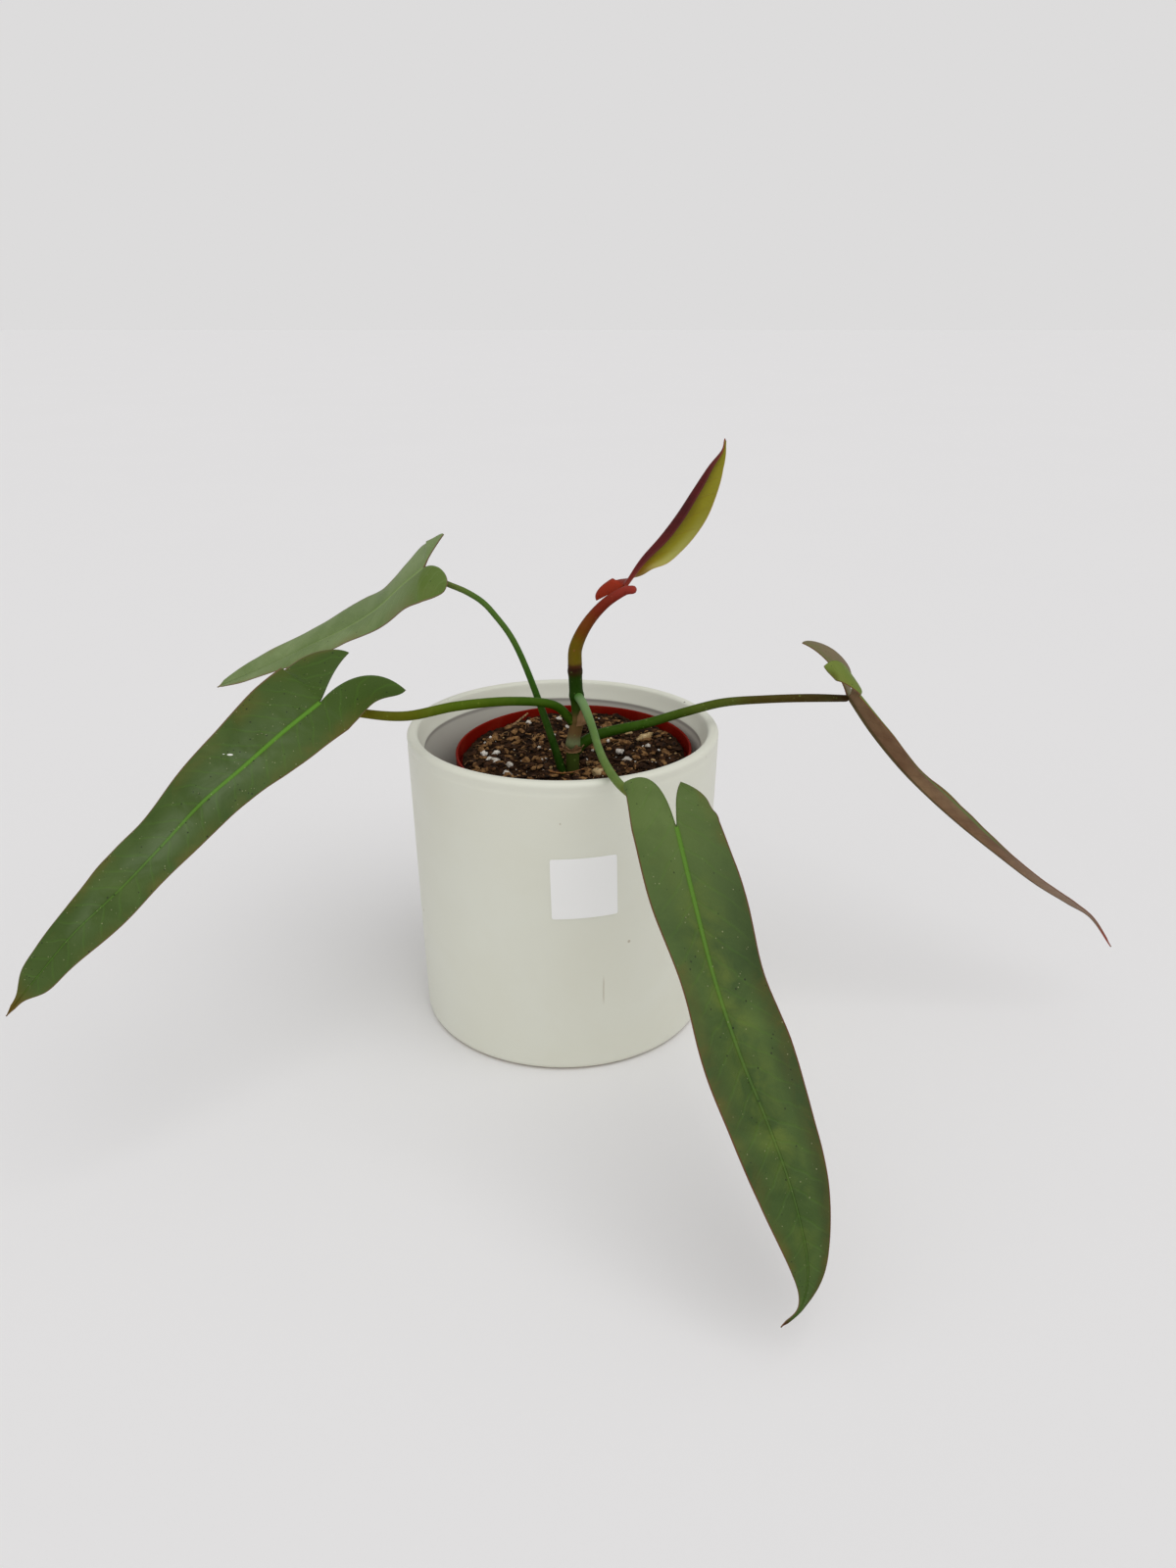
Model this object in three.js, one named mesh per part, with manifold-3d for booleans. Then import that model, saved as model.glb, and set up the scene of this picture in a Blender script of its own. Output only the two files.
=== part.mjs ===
// Young long-leaved philodendron in a nursery pot, standing in a round glazed cover pot.
// Millimetres, +Z up. The origin is the centre of the cover pot's flat foot, and the photographed
// front faces -Y.
import * as THREE from 'three';
import { mergeVertices } from 'three/addons/utils/BufferGeometryUtils.js';
import Module from 'manifold-3d';

const wasm = await Module();
wasm.setup();

// Driving dimensions

const GAP = 0.3;
const POT = {
  height: 149.5, footRadius: 71.6, topRadius: 75, footRound: 4, lipRound: 2.2,
  grooveDepth: 0.15, grooveBelowRim: 5, grooveReach: 1.5,
  mouthRadius: 69.6, ledgeRadius: 66.9, ledgeBelowRim: 8, ledgeRound: [0.6, 1],
  floor: 6, floorRadius: 62, floorRound: 8, segments: 48,
};
const LABEL = { side: 30, height: 98.6, azimuth: 8.2, turn: 1.5, thickness: 0.6, columns: 8 };
const NURSERY = {
  rimCentre: [5, 6, 136], lean: [-0.016, -0.035, 1], height: 128, rimRadius: 58, rimBand: 9,
  rimStep: 0.7, rimTaper: 0.3, rimEdge: 0.4, footRadius: 44, wall: 1.2, floor: 1.6, segments: 40,
};
const MIX = { belowRim: 5.2, slope: 0.03, relief: 0.7, edgeRoom: 0.2, rings: 9, segments: 40 };
// The crumbs that stand out, as [x, y, half size, stretch, turn], and how many small ones lie
// between them. Small ones keep clear of the stem, of the pot's wall and of each other. Places
// on the mix are in the nursery pot's own frame.
const CRUMBS = {
  seed: 7,
  small: 34,
  smallSize: [1, 0.9],
  clearOfStem: 11,
  clearOfWall: 7,
  apart: 3,
  flatness: 0.7,
  sunk: 0.25,
  large: [
    [-44.7, 4, 1.9, 1, 0], [-41.4, -1.5, 1.5, 1.2, 40], [-38.7, -5.5, 2.4, 1.1, 80],
    [-38.9, 4.5, 1.7, 1.2, 20], [-31.3, -10.9, 1.9, 1.1, 0], [-32.1, -18.4, 1.8, 1.6, 10],
    [-15.1, -6.3, 1.7, 1.3, 30], [-8.5, 45.6, 1.7, 1.3, 0], [-24.1, 40.7, 1.4, 1.3, 60],
    [23.1, 3.2, 1.9, 1, 30], [26.2, -5.5, 1.5, 1.5, 120], [37, 8.6, 1.4, 1.2, 0],
    [38.6, -8.2, 1.2, 1, 0], [11.7, -19, 3, 1.3, 0], [36.6, 22.3, 2.1, 2.6, -30],
    [27.7, 26.7, 1.7, 1.9, 10], [-12, 22, 2.2, 1.5, 20], [16, 33, 2.3, 1.4, 70],
  ],
};
const STRAND = { taper: 0.35, steps: 8, sides: 6 };
// Strands on the mix, as [x, y, height above it].
const FIBRE = {
  path: [[-12, -20, 0.6], [-6.5, -23, 1.6], [-0.5, -22.5, 2.2], [5, -19.5, 2.4]], radius: 0.5,
};
const TWIG = { path: [[-32, 38, 0.8], [-28.5, 43, 2], [-25, 47, 3.6]], radius: 0.75 };
const STEM = {
  path: [[4.5, -10, 112], [5, -10, 143], [7.5, -10, 157.5], [6.5, -10, 170], [6, -10, 181.5]],
  radius: 3.2, sides: 10, steps: 30,
  nodes: [[0.45, 0.5], [0.63, 0.45], [0.8, 0.4], [0.97, 0.35]],
  nodeWidth: 0.025,
};
const SHEATH = { thickness: 0.6, pleat: 0.2, pleats: 7, rows: 4, columns: 18 };
// Dry sheaths, placed by shares of the stem's length. open and turn are the gap and its direction.
const SHEATHS = {
  dry_sheath_lower: { low: 0.4, high: 0.475, flare: 1.1, open: 80, turn: 110, tear: 0.03 },
  dry_sheath_upper: { low: 0.6, high: 0.73, flare: 0.5, open: 150, turn: 190, tear: 0.05 },
};
const PETIOLE = { sides: 8, spacing: 8 };
const BLADE = { edge: 0.6, midribDepth: 1.1, rows: 20, columns: 4, lobeRows: 8, blendLobe: 0.45 };

// Leaves. The spine is the midrib from the petiole to the tip. A face vector points out of the
// upper side. Each half, as seen from above looking to the tip, has its widths from base to tip,
// the angle at which it rises from the midrib (fold) and by how much it bends on to the margin
// (curl), in degrees. A lobe's inner edge is a curve with two guide points to its end. lobeWidths
// are factors on the lobe's round outline, and lobeTurn says how far its rows turn with that edge.

const LEAVES = {
  front: {
    color: 0x4d6b42,
    spine: [[46.5, -121, 150], [52.5, -140, 128], [59, -162, 106.5], [67, -181, 87],
      [75.5, -198, 70.5], [83, -213, 53], [87.5, -226, 34], [85, -234, 22.5], [77, -241, 20]],
    face: [[0.05, -0.75, 0.66], [0.05, -0.8, 0.55], [0, -0.85, 0.5]],
    ripple: [0.5, 3],
    left: {
      widths: [17.9, 21.2, 20.2, 21, 17.5, 14, 7, 1.3, 0.5], fold: [8, 8, 8, 10, 25],
      curl: [-30, -35, -30, -20, 0], lobeFold: [8, -10], lobeCurl: [-30, -30],
      lobeWidths: [1, 0.96, 1.27], lobeTurn: 0.75,
      lobe: [[46.5, -117, 156.6], [45.9, -111, 159.9], [48.5, -110, 164.8]],
    },
    right: {
      widths: [17.7, 17.6, 13.8, 16, 16, 14, 8, 1.3, 0.6], fold: [15, 28, 28, 28, 25],
      curl: [-25, -20, -15, -10, 0], lobeFold: [15, -10], lobeCurl: [-25, -30],
      lobeWidths: [1, 0.93, 0.87], lobeTurn: 0.47,
      lobe: [[44.3, -116, 155.7], [39.8, -105.5, 171.1], [26.7, -107, 163.4]],
    },
    petiole: {
      path: [[7, -11, 168], [10, -19, 166], [14, -33, 160], [16.5, -47, 156], [19.3, -62, 154.2],
        [23.3, -78, 153.2], [27.7, -92, 153.6], [35, -106, 153], [45.5, -119.5, 149.3]],
      radii: [2.2, 2, 1.8, 1.8, 1.85, 1.9, 1.9, 1.8, 1.6],
    },
  },
  left_front: {
    color: 0x3f6136,
    spine: [[-102.5, -60, 180.5], [-115, -76, 173], [-128.5, -92, 163.5], [-142.5, -106, 153.5],
      [-156.5, -119, 140], [-170.5, -130, 127], [-186, -141, 114], [-199.5, -150, 99],
      [-209.5, -157, 87.5]],
    face: [[0.15, -0.75, 0.6], [0.05, -0.75, 0.62], [-0.1, -0.8, 0.55]],
    ripple: [0.8, 4],
    left: {
      widths: [17, 16.6, 16, 14.5, 13, 12.7, 12.5, 11.7, 11, 10.9, 11, 11, 10.5, 9.1, 7.4, 1.9, 0.8],
      fold: [10, 10, 10, 12, 20],
      curl: [-25, -25, -20, -20, 0], lobeFold: [10, -20], lobeCurl: [-25, -40],
      lobe: [[-97, -56.5, 187], [-81, -51.5, 198], [-65, -62, 187]],
    },
    right: {
      widths: [23, 22.6, 22, 20.7, 19, 17.2, 15.5, 14, 13, 13.1, 13, 11.2, 9, 7.6, 6.4, 1.9, 1],
      fold: [10, 10, 10, 15, 20],
      curl: [-20, -20, -20, -20, 0], lobeFold: [10, 0], lobeCurl: [-20, -30], lobeTurn: 0.75,
      lobe: [[-100.5, -56, 183], [-101, -42, 189], [-94.5, -30, 194]],
    },
    petiole: {
      path: [[5, -10, 154], [-4, -15, 164.5], [-23.5, -26, 170], [-47, -36, 171],
        [-68, -45, 169.5], [-86, -53, 173.5], [-101.5, -58, 179]],
      radii: [2.1, 2.05, 2.1, 2.2, 2.2, 2, 1.6],
    },
  },
  left_back: {
    color: 0x6f8064,
    spine: [[-64, 2, 225], [-75, 9, 215.5], [-90, 18, 201.5], [-107.5, 28, 189.5],
      [-127.5, 38, 178.5], [-147.5, 47, 167.5], [-168, 55, 157], [-185.5, 62, 148.5]],
    face: [[-0.22, -0.48, 0.85], [-0.22, -0.48, 0.85], [-0.22, -0.48, 0.85]],
    ripple: [0.5, 3],
    left: {
      widths: [21, 18, 14.5, 12, 11, 9.5, 7.5, 5, 0.8], fold: [8, 8, 8, 8, 20],
      curl: [-30, -25, -20, -10, 0], lobeFold: [8, -5], lobeCurl: [-30, -40],
      lobeWidths: [1, 0.93, 0.72], lobeTurn: 0.3,
      lobe: [[-60.5, 1, 228], [-52, -4, 227.5], [-51.5, -11, 221]],
    },
    right: {
      widths: [18.5, 19.5, 16, 14.7, 14, 15.2, 16.5, 16.3, 15.5, 14.1, 12.5, 11.2, 10, 8.7, 7, 4.1, 0.8],
      fold: [10, 10, 10, 15, 20],
      curl: [-20, -20, -20, -20, 0], lobeFold: [10, 0], lobeCurl: [-20, -10],
      lobeWidths: [1, 0.6, 0.35], lobeTurn: 0.35,
      lobe: [[-62, 4, 229], [-58.5, 6, 234.5], [-54.5, 8, 239.5]],
    },
    petiole: {
      path: [[1.1, -12.5, 123], [-1.7, -11.5, 135], [-8.7, -10, 157.5], [-14.7, -9, 175],
        [-19.8, -8, 187.8], [-24.4, -7, 196.5], [-30.4, -6, 204.5], [-36.4, -4.5, 210.8],
        [-44.2, -2.5, 215.3], [-53, 0, 218.4], [-62.5, 2, 222.3]],
      radii: [2.1, 2, 1.8, 1.7, 1.55, 1.45, 1.4, 1.35, 1.35, 1.35, 1.3],
    },
  },
  right: {
    color: 0x6b5148,
    spine: [[139, 10, 160.5], [151.5, 8, 143], [166.5, 6, 125.5], [181, 3, 111.5], [198, 0, 97],
      [217, -4, 82.5], [237, -8, 68], [254, -11, 58], [266, -14, 51], [277, -18, 36.5]],
    face: [[0.7, -0.1, 0.7], [0.7, -0.1, 0.7], [0.7, -0.1, 0.7]],
    ripple: [0.4, 3],
    left: {
      widths: [11.2, 10, 11, 13, 9.5, 6.5, 4, 2.2, 0.9], fold: [20, 25, 32, 32, 32, 30, 20],
      curl: [-20, -20, -15, -15, 0], lobeFold: [20, 35, 30], lobeCurl: [-20, -30],
      lobeWidths: [1, 1.36, 1.75],
      lobe: [[137.5, 12, 166], [129.5, 17, 180], [117, 22, 184]],
    },
    right: {
      widths: [12.5, 15, 13, 13, 11, 9, 6.2, 2.6, 0.9], fold: [85, 82, 64, 58, 54, 50, 30],
      curl: [-110, -85, -40, -30, -30, -20, 0], lobeFold: [85, 10, -25], lobeCurl: [-110, -50, -20],
      lobeWidths: [1, 1.2, 1.6], lobeTurn: 0.8,
      lobe: [[144.7, 8, 166.6], [133, 6, 187], [124.2, 1, 178.4]],
    },
    petiole: {
      path: [[6, -9.5, 139.5], [10, -8.5, 143.5], [17.5, -7, 147], [28, -6, 149.5], [40.5, -5, 152],
        [59, -2, 156.7], [77, 0.5, 160.5], [97, 3, 161.3], [118, 6, 161], [138, 10, 159.5]],
      radii: [2.8, 2.6, 2.3, 2.2, 2.2, 2.1, 2, 2, 2, 1.7],
    },
  },
  new: {
    color: 0x7a2b22,
    spine: [[29, -13, 220.5], [36.1, -11, 231.3], [44.8, -9, 241.1], [52.1, -9, 251.1],
      [58.7, -10, 262], [64.9, -12, 272.4], [69.8, -15, 279.6], [70.5, -18, 285]],
    face: [[0.7, -0.55, -0.4], [0.7, -0.55, -0.4], [0.7, -0.55, -0.4]],
    ripple: [0, 1],
    left: {
      widths: [2.1, 3.4, 4.4, 4.8, 4.5, 3.6, 2, 1, 0.6], fold: [30, 20, 15, 15, 20, 30, 20],
      curl: [40, 90, 130, 130, 120, 50, 0], lobeFold: [30, -30], lobeCurl: [40, 0],
      lobeTurn: 0,
      lobe: [[28.8, -14, 220.2], [28.4, -14.8, 219.8], [28, -15.4, 219.4]],
    },
    right: {
      widths: [6.5, 5.8, 12, 15.3, 14.5, 11.5, 6.4, 1.5, 0.6],
      fold: [-70, 45, 38, 35, 35, 35, 35, 30, 20],
      curl: [0, 0, -20, -20, -20, -10, 0], lobeFold: [-70, -130], lobeCurl: [0, 10],
      lobeWidths: [1, 1, 1.2], lobeTurn: 0.8,
      lobe: [[26.5, -11, 218.5], [22, -8, 215.5], [16, -6, 212]],
    },
    petiole: {
      path: [[6, -10, 181.8], [6.5, -10, 191], [11.5, -11, 202], [19.5, -13, 212],
        [28, -16, 218.5], [32, -19, 220]],
      radii: [3.35, 3.1, 2.75, 2.45, 2.2, 1.9],
    },
  },
};

// Small helpers

const vec = (p) => new THREE.Vector3(p[0], p[1], p[2]);
const smooth = (x) => THREE.MathUtils.smoothstep(x, 0, 1);

// Value at t from 0 to 1 on a smooth curve through equally spaced values.
function along(values, t) {
  const last = values.length - 1;
  const place = THREE.MathUtils.clamp(t, 0, 1) * last;
  const i = Math.min(Math.floor(place), last - 1);
  const f = place - i;
  const b = values[i];
  const c = values[i + 1];
  const a = i > 0 ? values[i - 1] : 2 * b - c;
  const d = i + 2 <= last ? values[i + 2] : 2 * c - b;
  const bend = 2 * a - 5 * b + 4 * c - d;
  return b + 0.5 * f * (c - a + f * (bend + f * (3 * (b - c) + d - a)));
}

// Seeded random numbers from 0 to 1, so that the crumbs always lie the same way.
function seededRandom(seed) {
  let state = seed;
  return () => {
    state = (state * 1664525 + 1013904223) % 4294967296;
    return state / 4294967296;
  };
}

// Shared corners only, with the triangles that collapse on an axis left out.
function weld(geometry) {
  const bare = geometry.index ? geometry.toNonIndexed() : geometry;
  bare.deleteAttribute('normal');
  bare.deleteAttribute('uv');
  const merged = mergeVertices(bare, 1e-4);
  const kept = [];
  const index = merged.index.array;
  for (let i = 0; i < index.length; i += 3) {
    const [a, b, c] = [index[i], index[i + 1], index[i + 2]];
    if (a !== b && b !== c && c !== a) kept.push(a, b, c);
  }
  merged.setIndex(kept);
  return merged;
}

function toSolid(geometry) {
  const welded = weld(geometry);
  return new wasm.Manifold(new wasm.Mesh({
    numProp: 3,
    vertProperties: new Float32Array(welded.attributes.position.array),
    triVerts: new Uint32Array(welded.index.array),
  }));
}

function toGeometry(solid) {
  const mesh = solid.getMesh();
  const geometry = new THREE.BufferGeometry();
  geometry.setAttribute('position', new THREE.BufferAttribute(new Float32Array(mesh.vertProperties), 3));
  geometry.setIndex(new THREE.BufferAttribute(new Uint32Array(mesh.triVerts), 1));
  return geometry;
}

// The main body of a solid, without the scraps that a cut leaves.
function largestPiece(solid) {
  const pieces = solid.decompose();
  return pieces.reduce((best, piece) => (piece.volume() > best.volume() ? piece : best));
}

function indexedGeometry(positions, triangles) {
  const geometry = new THREE.BufferGeometry();
  geometry.setAttribute('position', new THREE.Float32BufferAttribute(positions, 3));
  geometry.setIndex(triangles);
  return geometry;
}

// A profile of [radius, height] points spun about Z.
function spun(profile, segments) {
  const points = profile.map(([r, z]) => new THREE.Vector2(r, z));
  const geometry = new THREE.LatheGeometry(points, segments);
  geometry.rotateX(Math.PI / 2);
  return geometry;
}

// Points of a round corner, from one angle to another in degrees.
function corner(r, z, radius, from, to, steps) {
  const points = [];
  for (let i = 0; i <= steps; i += 1) {
    const a = THREE.MathUtils.degToRad(from + (to - from) * i / steps);
    points.push([r + radius * Math.cos(a), z + radius * Math.sin(a)]);
  }
  return points;
}

// A round stalk along a path. radiusAt gives its radius from 0 to 1 along the path.
function stalk(path, radiusAt, steps, sides, extra = 0) {
  const curve = new THREE.CatmullRomCurve3(path.map(vec), false, 'catmullrom', 0.5);
  const section = [];
  for (let i = 0; i < sides; i += 1) {
    const a = 2 * Math.PI * i / sides;
    section.push(new THREE.Vector2(Math.cos(a), Math.sin(a)));
  }
  const geometry = new THREE.ExtrudeGeometry(new THREE.Shape(section), {
    steps, curveSegments: 1, bevelEnabled: false, extrudePath: curve,
  });
  const centres = curve.getSpacedPoints(steps);
  const position = geometry.attributes.position;
  const point = new THREE.Vector3();
  for (let i = 0; i < position.count; i += 1) {
    point.fromBufferAttribute(position, i);
    let near = 0;
    for (let s = 1; s <= steps; s += 1) {
      if (point.distanceToSquared(centres[s]) < point.distanceToSquared(centres[near])) near = s;
    }
    const reach = radiusAt(near / steps) + extra;
    point.sub(centres[near]).multiplyScalar(reach).add(centres[near]);
    position.setXYZ(i, point.x, point.y, point.z);
  }
  return geometry;
}

// A thin sheet as one closed body. Each corner has a place, an upward normal, and how far its
// upper and lower side lie from it. Both sides share one set of triangles.
class Sheet {
  constructor() {
    this.corners = [];
    this.triangles = [];
  }

  corner(place, normal, rise, drop) {
    this.corners.push({ place, normal, rise, drop });
    return this.corners.length - 1;
  }

  triangle(a, b, c) {
    this.triangles.push([a, b, c]);
  }

  quad(a, b, c, d) {
    this.triangle(a, b, c);
    this.triangle(a, c, d);
  }

  geometry() {
    const positions = [];
    for (const { place, normal, rise, drop } of this.corners) {
      positions.push(...place.clone().addScaledVector(normal, rise).toArray());
      positions.push(...place.clone().addScaledVector(normal, -drop).toArray());
    }
    const index = [];
    const open = new Map();
    for (const [a, b, c] of this.triangles) {
      index.push(2 * a, 2 * b, 2 * c, 2 * a + 1, 2 * c + 1, 2 * b + 1);
      for (const [p, q] of [[a, b], [b, c], [c, a]]) {
        if (!open.delete(`${q} ${p}`)) open.set(`${p} ${q}`, [p, q]);
      }
    }
    for (const [p, q] of open.values()) {
      index.push(2 * q, 2 * p, 2 * p + 1, 2 * q, 2 * p + 1, 2 * q + 1);
    }
    return indexedGeometry(positions, index);
  }
}

// Leaves

// Where a row of the blade starts, how it points and how it is bent. v runs from 0 at the
// petiole to 1 at the tip, and from 0 to -1 at the end of a lobe.
function bladeRow(leaf, side, v) {
  const spine = new THREE.CatmullRomCurve3(leaf.spine.map(vec), false, 'catmullrom', 0.5);
  const half = leaf[side];
  const t = Math.max(v, 0);
  const lobe = Math.max(-v, 0);
  const tangent = spine.getTangent(t);
  let origin = spine.getPoint(t);
  let width = along(half.widths, t);
  let fold = along(half.fold, t);
  let curl = along(half.curl, t);
  if (lobe > 0) {
    const [guideA, guideB, end] = half.lobe.map(vec);
    const edge = new THREE.CubicBezierCurve3(vec(leaf.spine[0]), guideA, guideB, end);
    origin = edge.getPoint(lobe);
    const turn = (half.lobeTurn ?? 1) * smooth(lobe / BLADE.blendLobe);
    tangent.lerp(edge.getTangent(lobe).negate(), turn).normalize();
    const round = Math.sqrt(Math.max(0, 1 - lobe * lobe));
    width = half.widths[0] * round * along(half.lobeWidths ?? [1, 1], lobe);
    fold = along(half.lobeFold, lobe);
    curl = along(half.lobeCurl, lobe);
  }
  const up = new THREE.CatmullRomCurve3(leaf.face.map(vec), false, 'catmullrom', 0.5).getPoint(t);
  up.addScaledVector(tangent, -up.dot(tangent)).normalize();
  const out = new THREE.Vector3().crossVectors(tangent, up);
  if (side === 'left') out.negate();
  const rad = THREE.MathUtils.degToRad;
  return { v, origin, up, out, width, fold: rad(fold), curl: rad(curl) };
}

// Place and normal of the blade at q, from 0 on the midrib to 1 on the margin.
function bladePoint(leaf, row, q) {
  const bend = Math.abs(row.curl) < 1e-4 ? 1e-4 : row.curl;
  const radius = row.width / bend;
  const flatOut = radius * Math.sin(bend * q);
  const flatUp = radius * (1 - Math.cos(bend * q));
  const [c, s] = [Math.cos(row.fold), Math.sin(row.fold)];
  const [size, count] = leaf.ripple;
  const t = Math.max(row.v, 0);
  const calm = Math.min(1, 5 * (1 - t)) * Math.min(1, row.width / 10);
  const ripple = size * q * q * Math.sin(2 * Math.PI * count * t) * calm;
  const place = row.origin.clone();
  place.addScaledVector(row.out, flatOut * c - flatUp * s);
  place.addScaledVector(row.up, flatOut * s + flatUp * c + ripple);
  const angle = row.fold + bend * q;
  const normal = row.out.clone().multiplyScalar(-Math.sin(angle));
  normal.addScaledVector(row.up, Math.cos(angle));
  return { place, normal };
}

function bladeGeometry(leaf) {
  const sheet = new Sheet();
  const { columns, rows, lobeRows } = BLADE;
  const rise = BLADE.edge / 2;
  const add = (row, q, normal) => {
    const spot = bladePoint(leaf, row, q);
    const fade = row.v < 0 ? Math.max(0, 1 + 3 * row.v) : 1 - 0.7 * row.v;
    const rib = BLADE.midribDepth * (1 - q) ** 3 * fade;
    return sheet.corner(spot.place, normal ?? spot.normal, rise, rise + rib);
  };
  const main = [];
  for (let k = 0; k < rows; k += 1) {
    const left = bladeRow(leaf, 'left', k / rows);
    const right = bladeRow(leaf, 'right', k / rows);
    const ridge = bladePoint(leaf, left, 0).normal.add(bladePoint(leaf, right, 0).normal).normalize();
    const line = [];
    for (let j = columns; j > 0; j -= 1) line.push(add(left, j / columns));
    line.push(add(left, 0, ridge));
    for (let j = 1; j <= columns; j += 1) line.push(add(right, j / columns));
    main.push(line);
  }
  const tipRow = bladeRow(leaf, 'right', 1);
  const tip = add({ ...tipRow, width: 0.01 }, 0);
  for (let k = 0; k + 1 < rows; k += 1) {
    for (let j = 0; j < 2 * columns; j += 1) {
      sheet.quad(main[k][j], main[k][j + 1], main[k + 1][j + 1], main[k + 1][j]);
    }
  }
  for (let j = 0; j < 2 * columns; j += 1) sheet.triangle(main[rows - 1][j], main[rows - 1][j + 1], tip);
  for (const side of ['left', 'right']) {
    const sign = side === 'left' ? -1 : 1;
    const lines = [main[0].filter((_, j) => (j - columns) * sign >= 0)];
    if (side === 'left') lines[0].reverse();
    for (let m = 1; m < lobeRows; m += 1) {
      const row = bladeRow(leaf, side, -Math.sin(0.5 * Math.PI * m / lobeRows));
      lines.push(Array.from({ length: columns + 1 }, (_, j) => add(row, j / columns)));
    }
    const end = add(bladeRow(leaf, side, -1), 0);
    for (let m = 0; m < lobeRows; m += 1) {
      for (let j = 0; j < columns; j += 1) {
        const [a, b] = [lines[m][j], lines[m][j + 1]];
        if (m === lobeRows - 1) {
          if (side === 'left') sheet.triangle(a, b, end);
          else sheet.triangle(a, end, b);
        } else if (side === 'left') {
          sheet.quad(a, b, lines[m + 1][j + 1], lines[m + 1][j]);
        } else {
          sheet.quad(a, lines[m + 1][j], lines[m + 1][j + 1], b);
        }
      }
    }
  }
  return sheet.geometry();
}

function petioleGeometry(petiole, extra = 0) {
  const curve = new THREE.CatmullRomCurve3(petiole.path.map(vec), false, 'catmullrom', 0.5);
  const steps = Math.ceil(curve.getLength() / PETIOLE.spacing) + 2;
  return stalk(petiole.path, (s) => along(petiole.radii, s), steps, PETIOLE.sides, extra);
}

// Stem: its leaf scars are low rings, raised by a formula

function stemRadius(s) {
  let radius = STEM.radius;
  for (const [place, swell] of STEM.nodes) {
    radius += swell * Math.exp(-(((s - place) / STEM.nodeWidth) ** 2));
  }
  return radius;
}

function stemGeometry(extra = 0) {
  return stalk(STEM.path, stemRadius, STEM.steps, STEM.sides, extra);
}

// A dry sheath: a torn papery collar that stands round the stem and opens on one side.
function sheathGeometry({ low, high, flare, open, turn, tear }) {
  const sheet = new Sheet();
  const stem = new THREE.CatmullRomCurve3(STEM.path.map(vec), false, 'catmullrom', 0.5);
  const clear = STEM.radius + GAP + SHEATH.thickness;
  const lines = [];
  for (let k = 0; k <= SHEATH.rows; k += 1) {
    const line = [];
    for (let j = 0; j <= SHEATH.columns; j += 1) {
      const a = THREE.MathUtils.degToRad(turn + open / 2 + (360 - open) * j / SHEATH.columns);
      const torn = high - tear * (0.5 + 0.5 * Math.sin(5 * a + 1.3) * Math.cos(2 * a));
      const s = low + (torn - low) * k / SHEATH.rows;
      const centre = stem.getPointAt(s);
      const swell = stemRadius(s) - STEM.radius;
      const out = new THREE.Vector3(Math.cos(a), Math.sin(a), 0);
      const pleat = SHEATH.pleat * Math.sin(SHEATH.pleats * a) ** 2;
      const reach = clear + swell + flare * (k / SHEATH.rows) ** 2 + pleat;
      const place = centre.clone().addScaledVector(out, reach);
      line.push(sheet.corner(place, out, SHEATH.thickness / 2, SHEATH.thickness / 2));
    }
    lines.push(line);
  }
  for (let k = 0; k < SHEATH.rows; k += 1) {
    for (let j = 0; j < SHEATH.columns; j += 1) {
      sheet.quad(lines[k][j], lines[k][j + 1], lines[k + 1][j + 1], lines[k + 1][j]);
    }
  }
  return sheet.geometry();
}

// Pots

function coverPotGeometry() {
  const p = POT;
  const wallAt = (z) => p.footRadius + (p.topRadius - p.footRadius) * z / p.height;
  const grooveZ = p.height - p.grooveBelowRim;
  const lipZ = p.height - p.lipRound;
  const ledgeZ = p.height - p.ledgeBelowRim;
  const profile = [
    [0, 0],
    ...corner(wallAt(0) - p.footRound, p.footRound, p.footRound, -90, 0, 4),
    [wallAt(p.height / 2), p.height / 2],
    [wallAt(grooveZ), grooveZ - p.grooveReach],
    [wallAt(grooveZ) - p.grooveDepth, grooveZ],
    [wallAt(grooveZ), grooveZ + p.grooveReach],
    ...corner(p.topRadius - p.lipRound, lipZ, p.lipRound, 0, 90, 3),
    ...corner(p.mouthRadius + p.lipRound, lipZ, p.lipRound, 90, 180, 3),
    [p.ledgeRadius + p.ledgeRound[0], ledgeZ + p.ledgeRound[1]],
    [p.ledgeRadius, ledgeZ],
    ...corner(p.floorRadius - p.floorRound, p.floor + p.floorRound, p.floorRound, 0, -90, 4),
    [0, p.floor],
  ];
  return spun(profile, p.segments);
}

function labelGeometry() {
  const sheet = new Sheet();
  const lines = [];
  const turn = THREE.MathUtils.degToRad(LABEL.turn);
  const slope = Math.atan2(POT.topRadius - POT.footRadius, POT.height);
  for (let k = 0; k <= 1; k += 1) {
    const line = [];
    for (let j = 0; j <= LABEL.columns; j += 1) {
      const across = LABEL.side * (j / LABEL.columns - 0.5);
      const upward = LABEL.side * (k - 0.5);
      const z = LABEL.height + upward * Math.cos(turn) + across * Math.sin(turn);
      const wall = POT.footRadius + (POT.topRadius - POT.footRadius) * z / POT.height;
      const slide = (across * Math.cos(turn) - upward * Math.sin(turn)) / wall;
      const a = THREE.MathUtils.degToRad(LABEL.azimuth) + slide;
      const out = new THREE.Vector3(Math.sin(a), -Math.cos(a), 0);
      const reach = wall + GAP + LABEL.thickness / 2;
      const place = out.clone().multiplyScalar(reach).setZ(z);
      out.setZ(-Math.tan(slope)).normalize();
      line.push(sheet.corner(place, out, LABEL.thickness / 2, LABEL.thickness / 2));
    }
    lines.push(line);
  }
  for (let j = 0; j < LABEL.columns; j += 1) {
    sheet.quad(lines[0][j], lines[0][j + 1], lines[1][j + 1], lines[1][j]);
  }
  return sheet.geometry();
}

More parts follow.
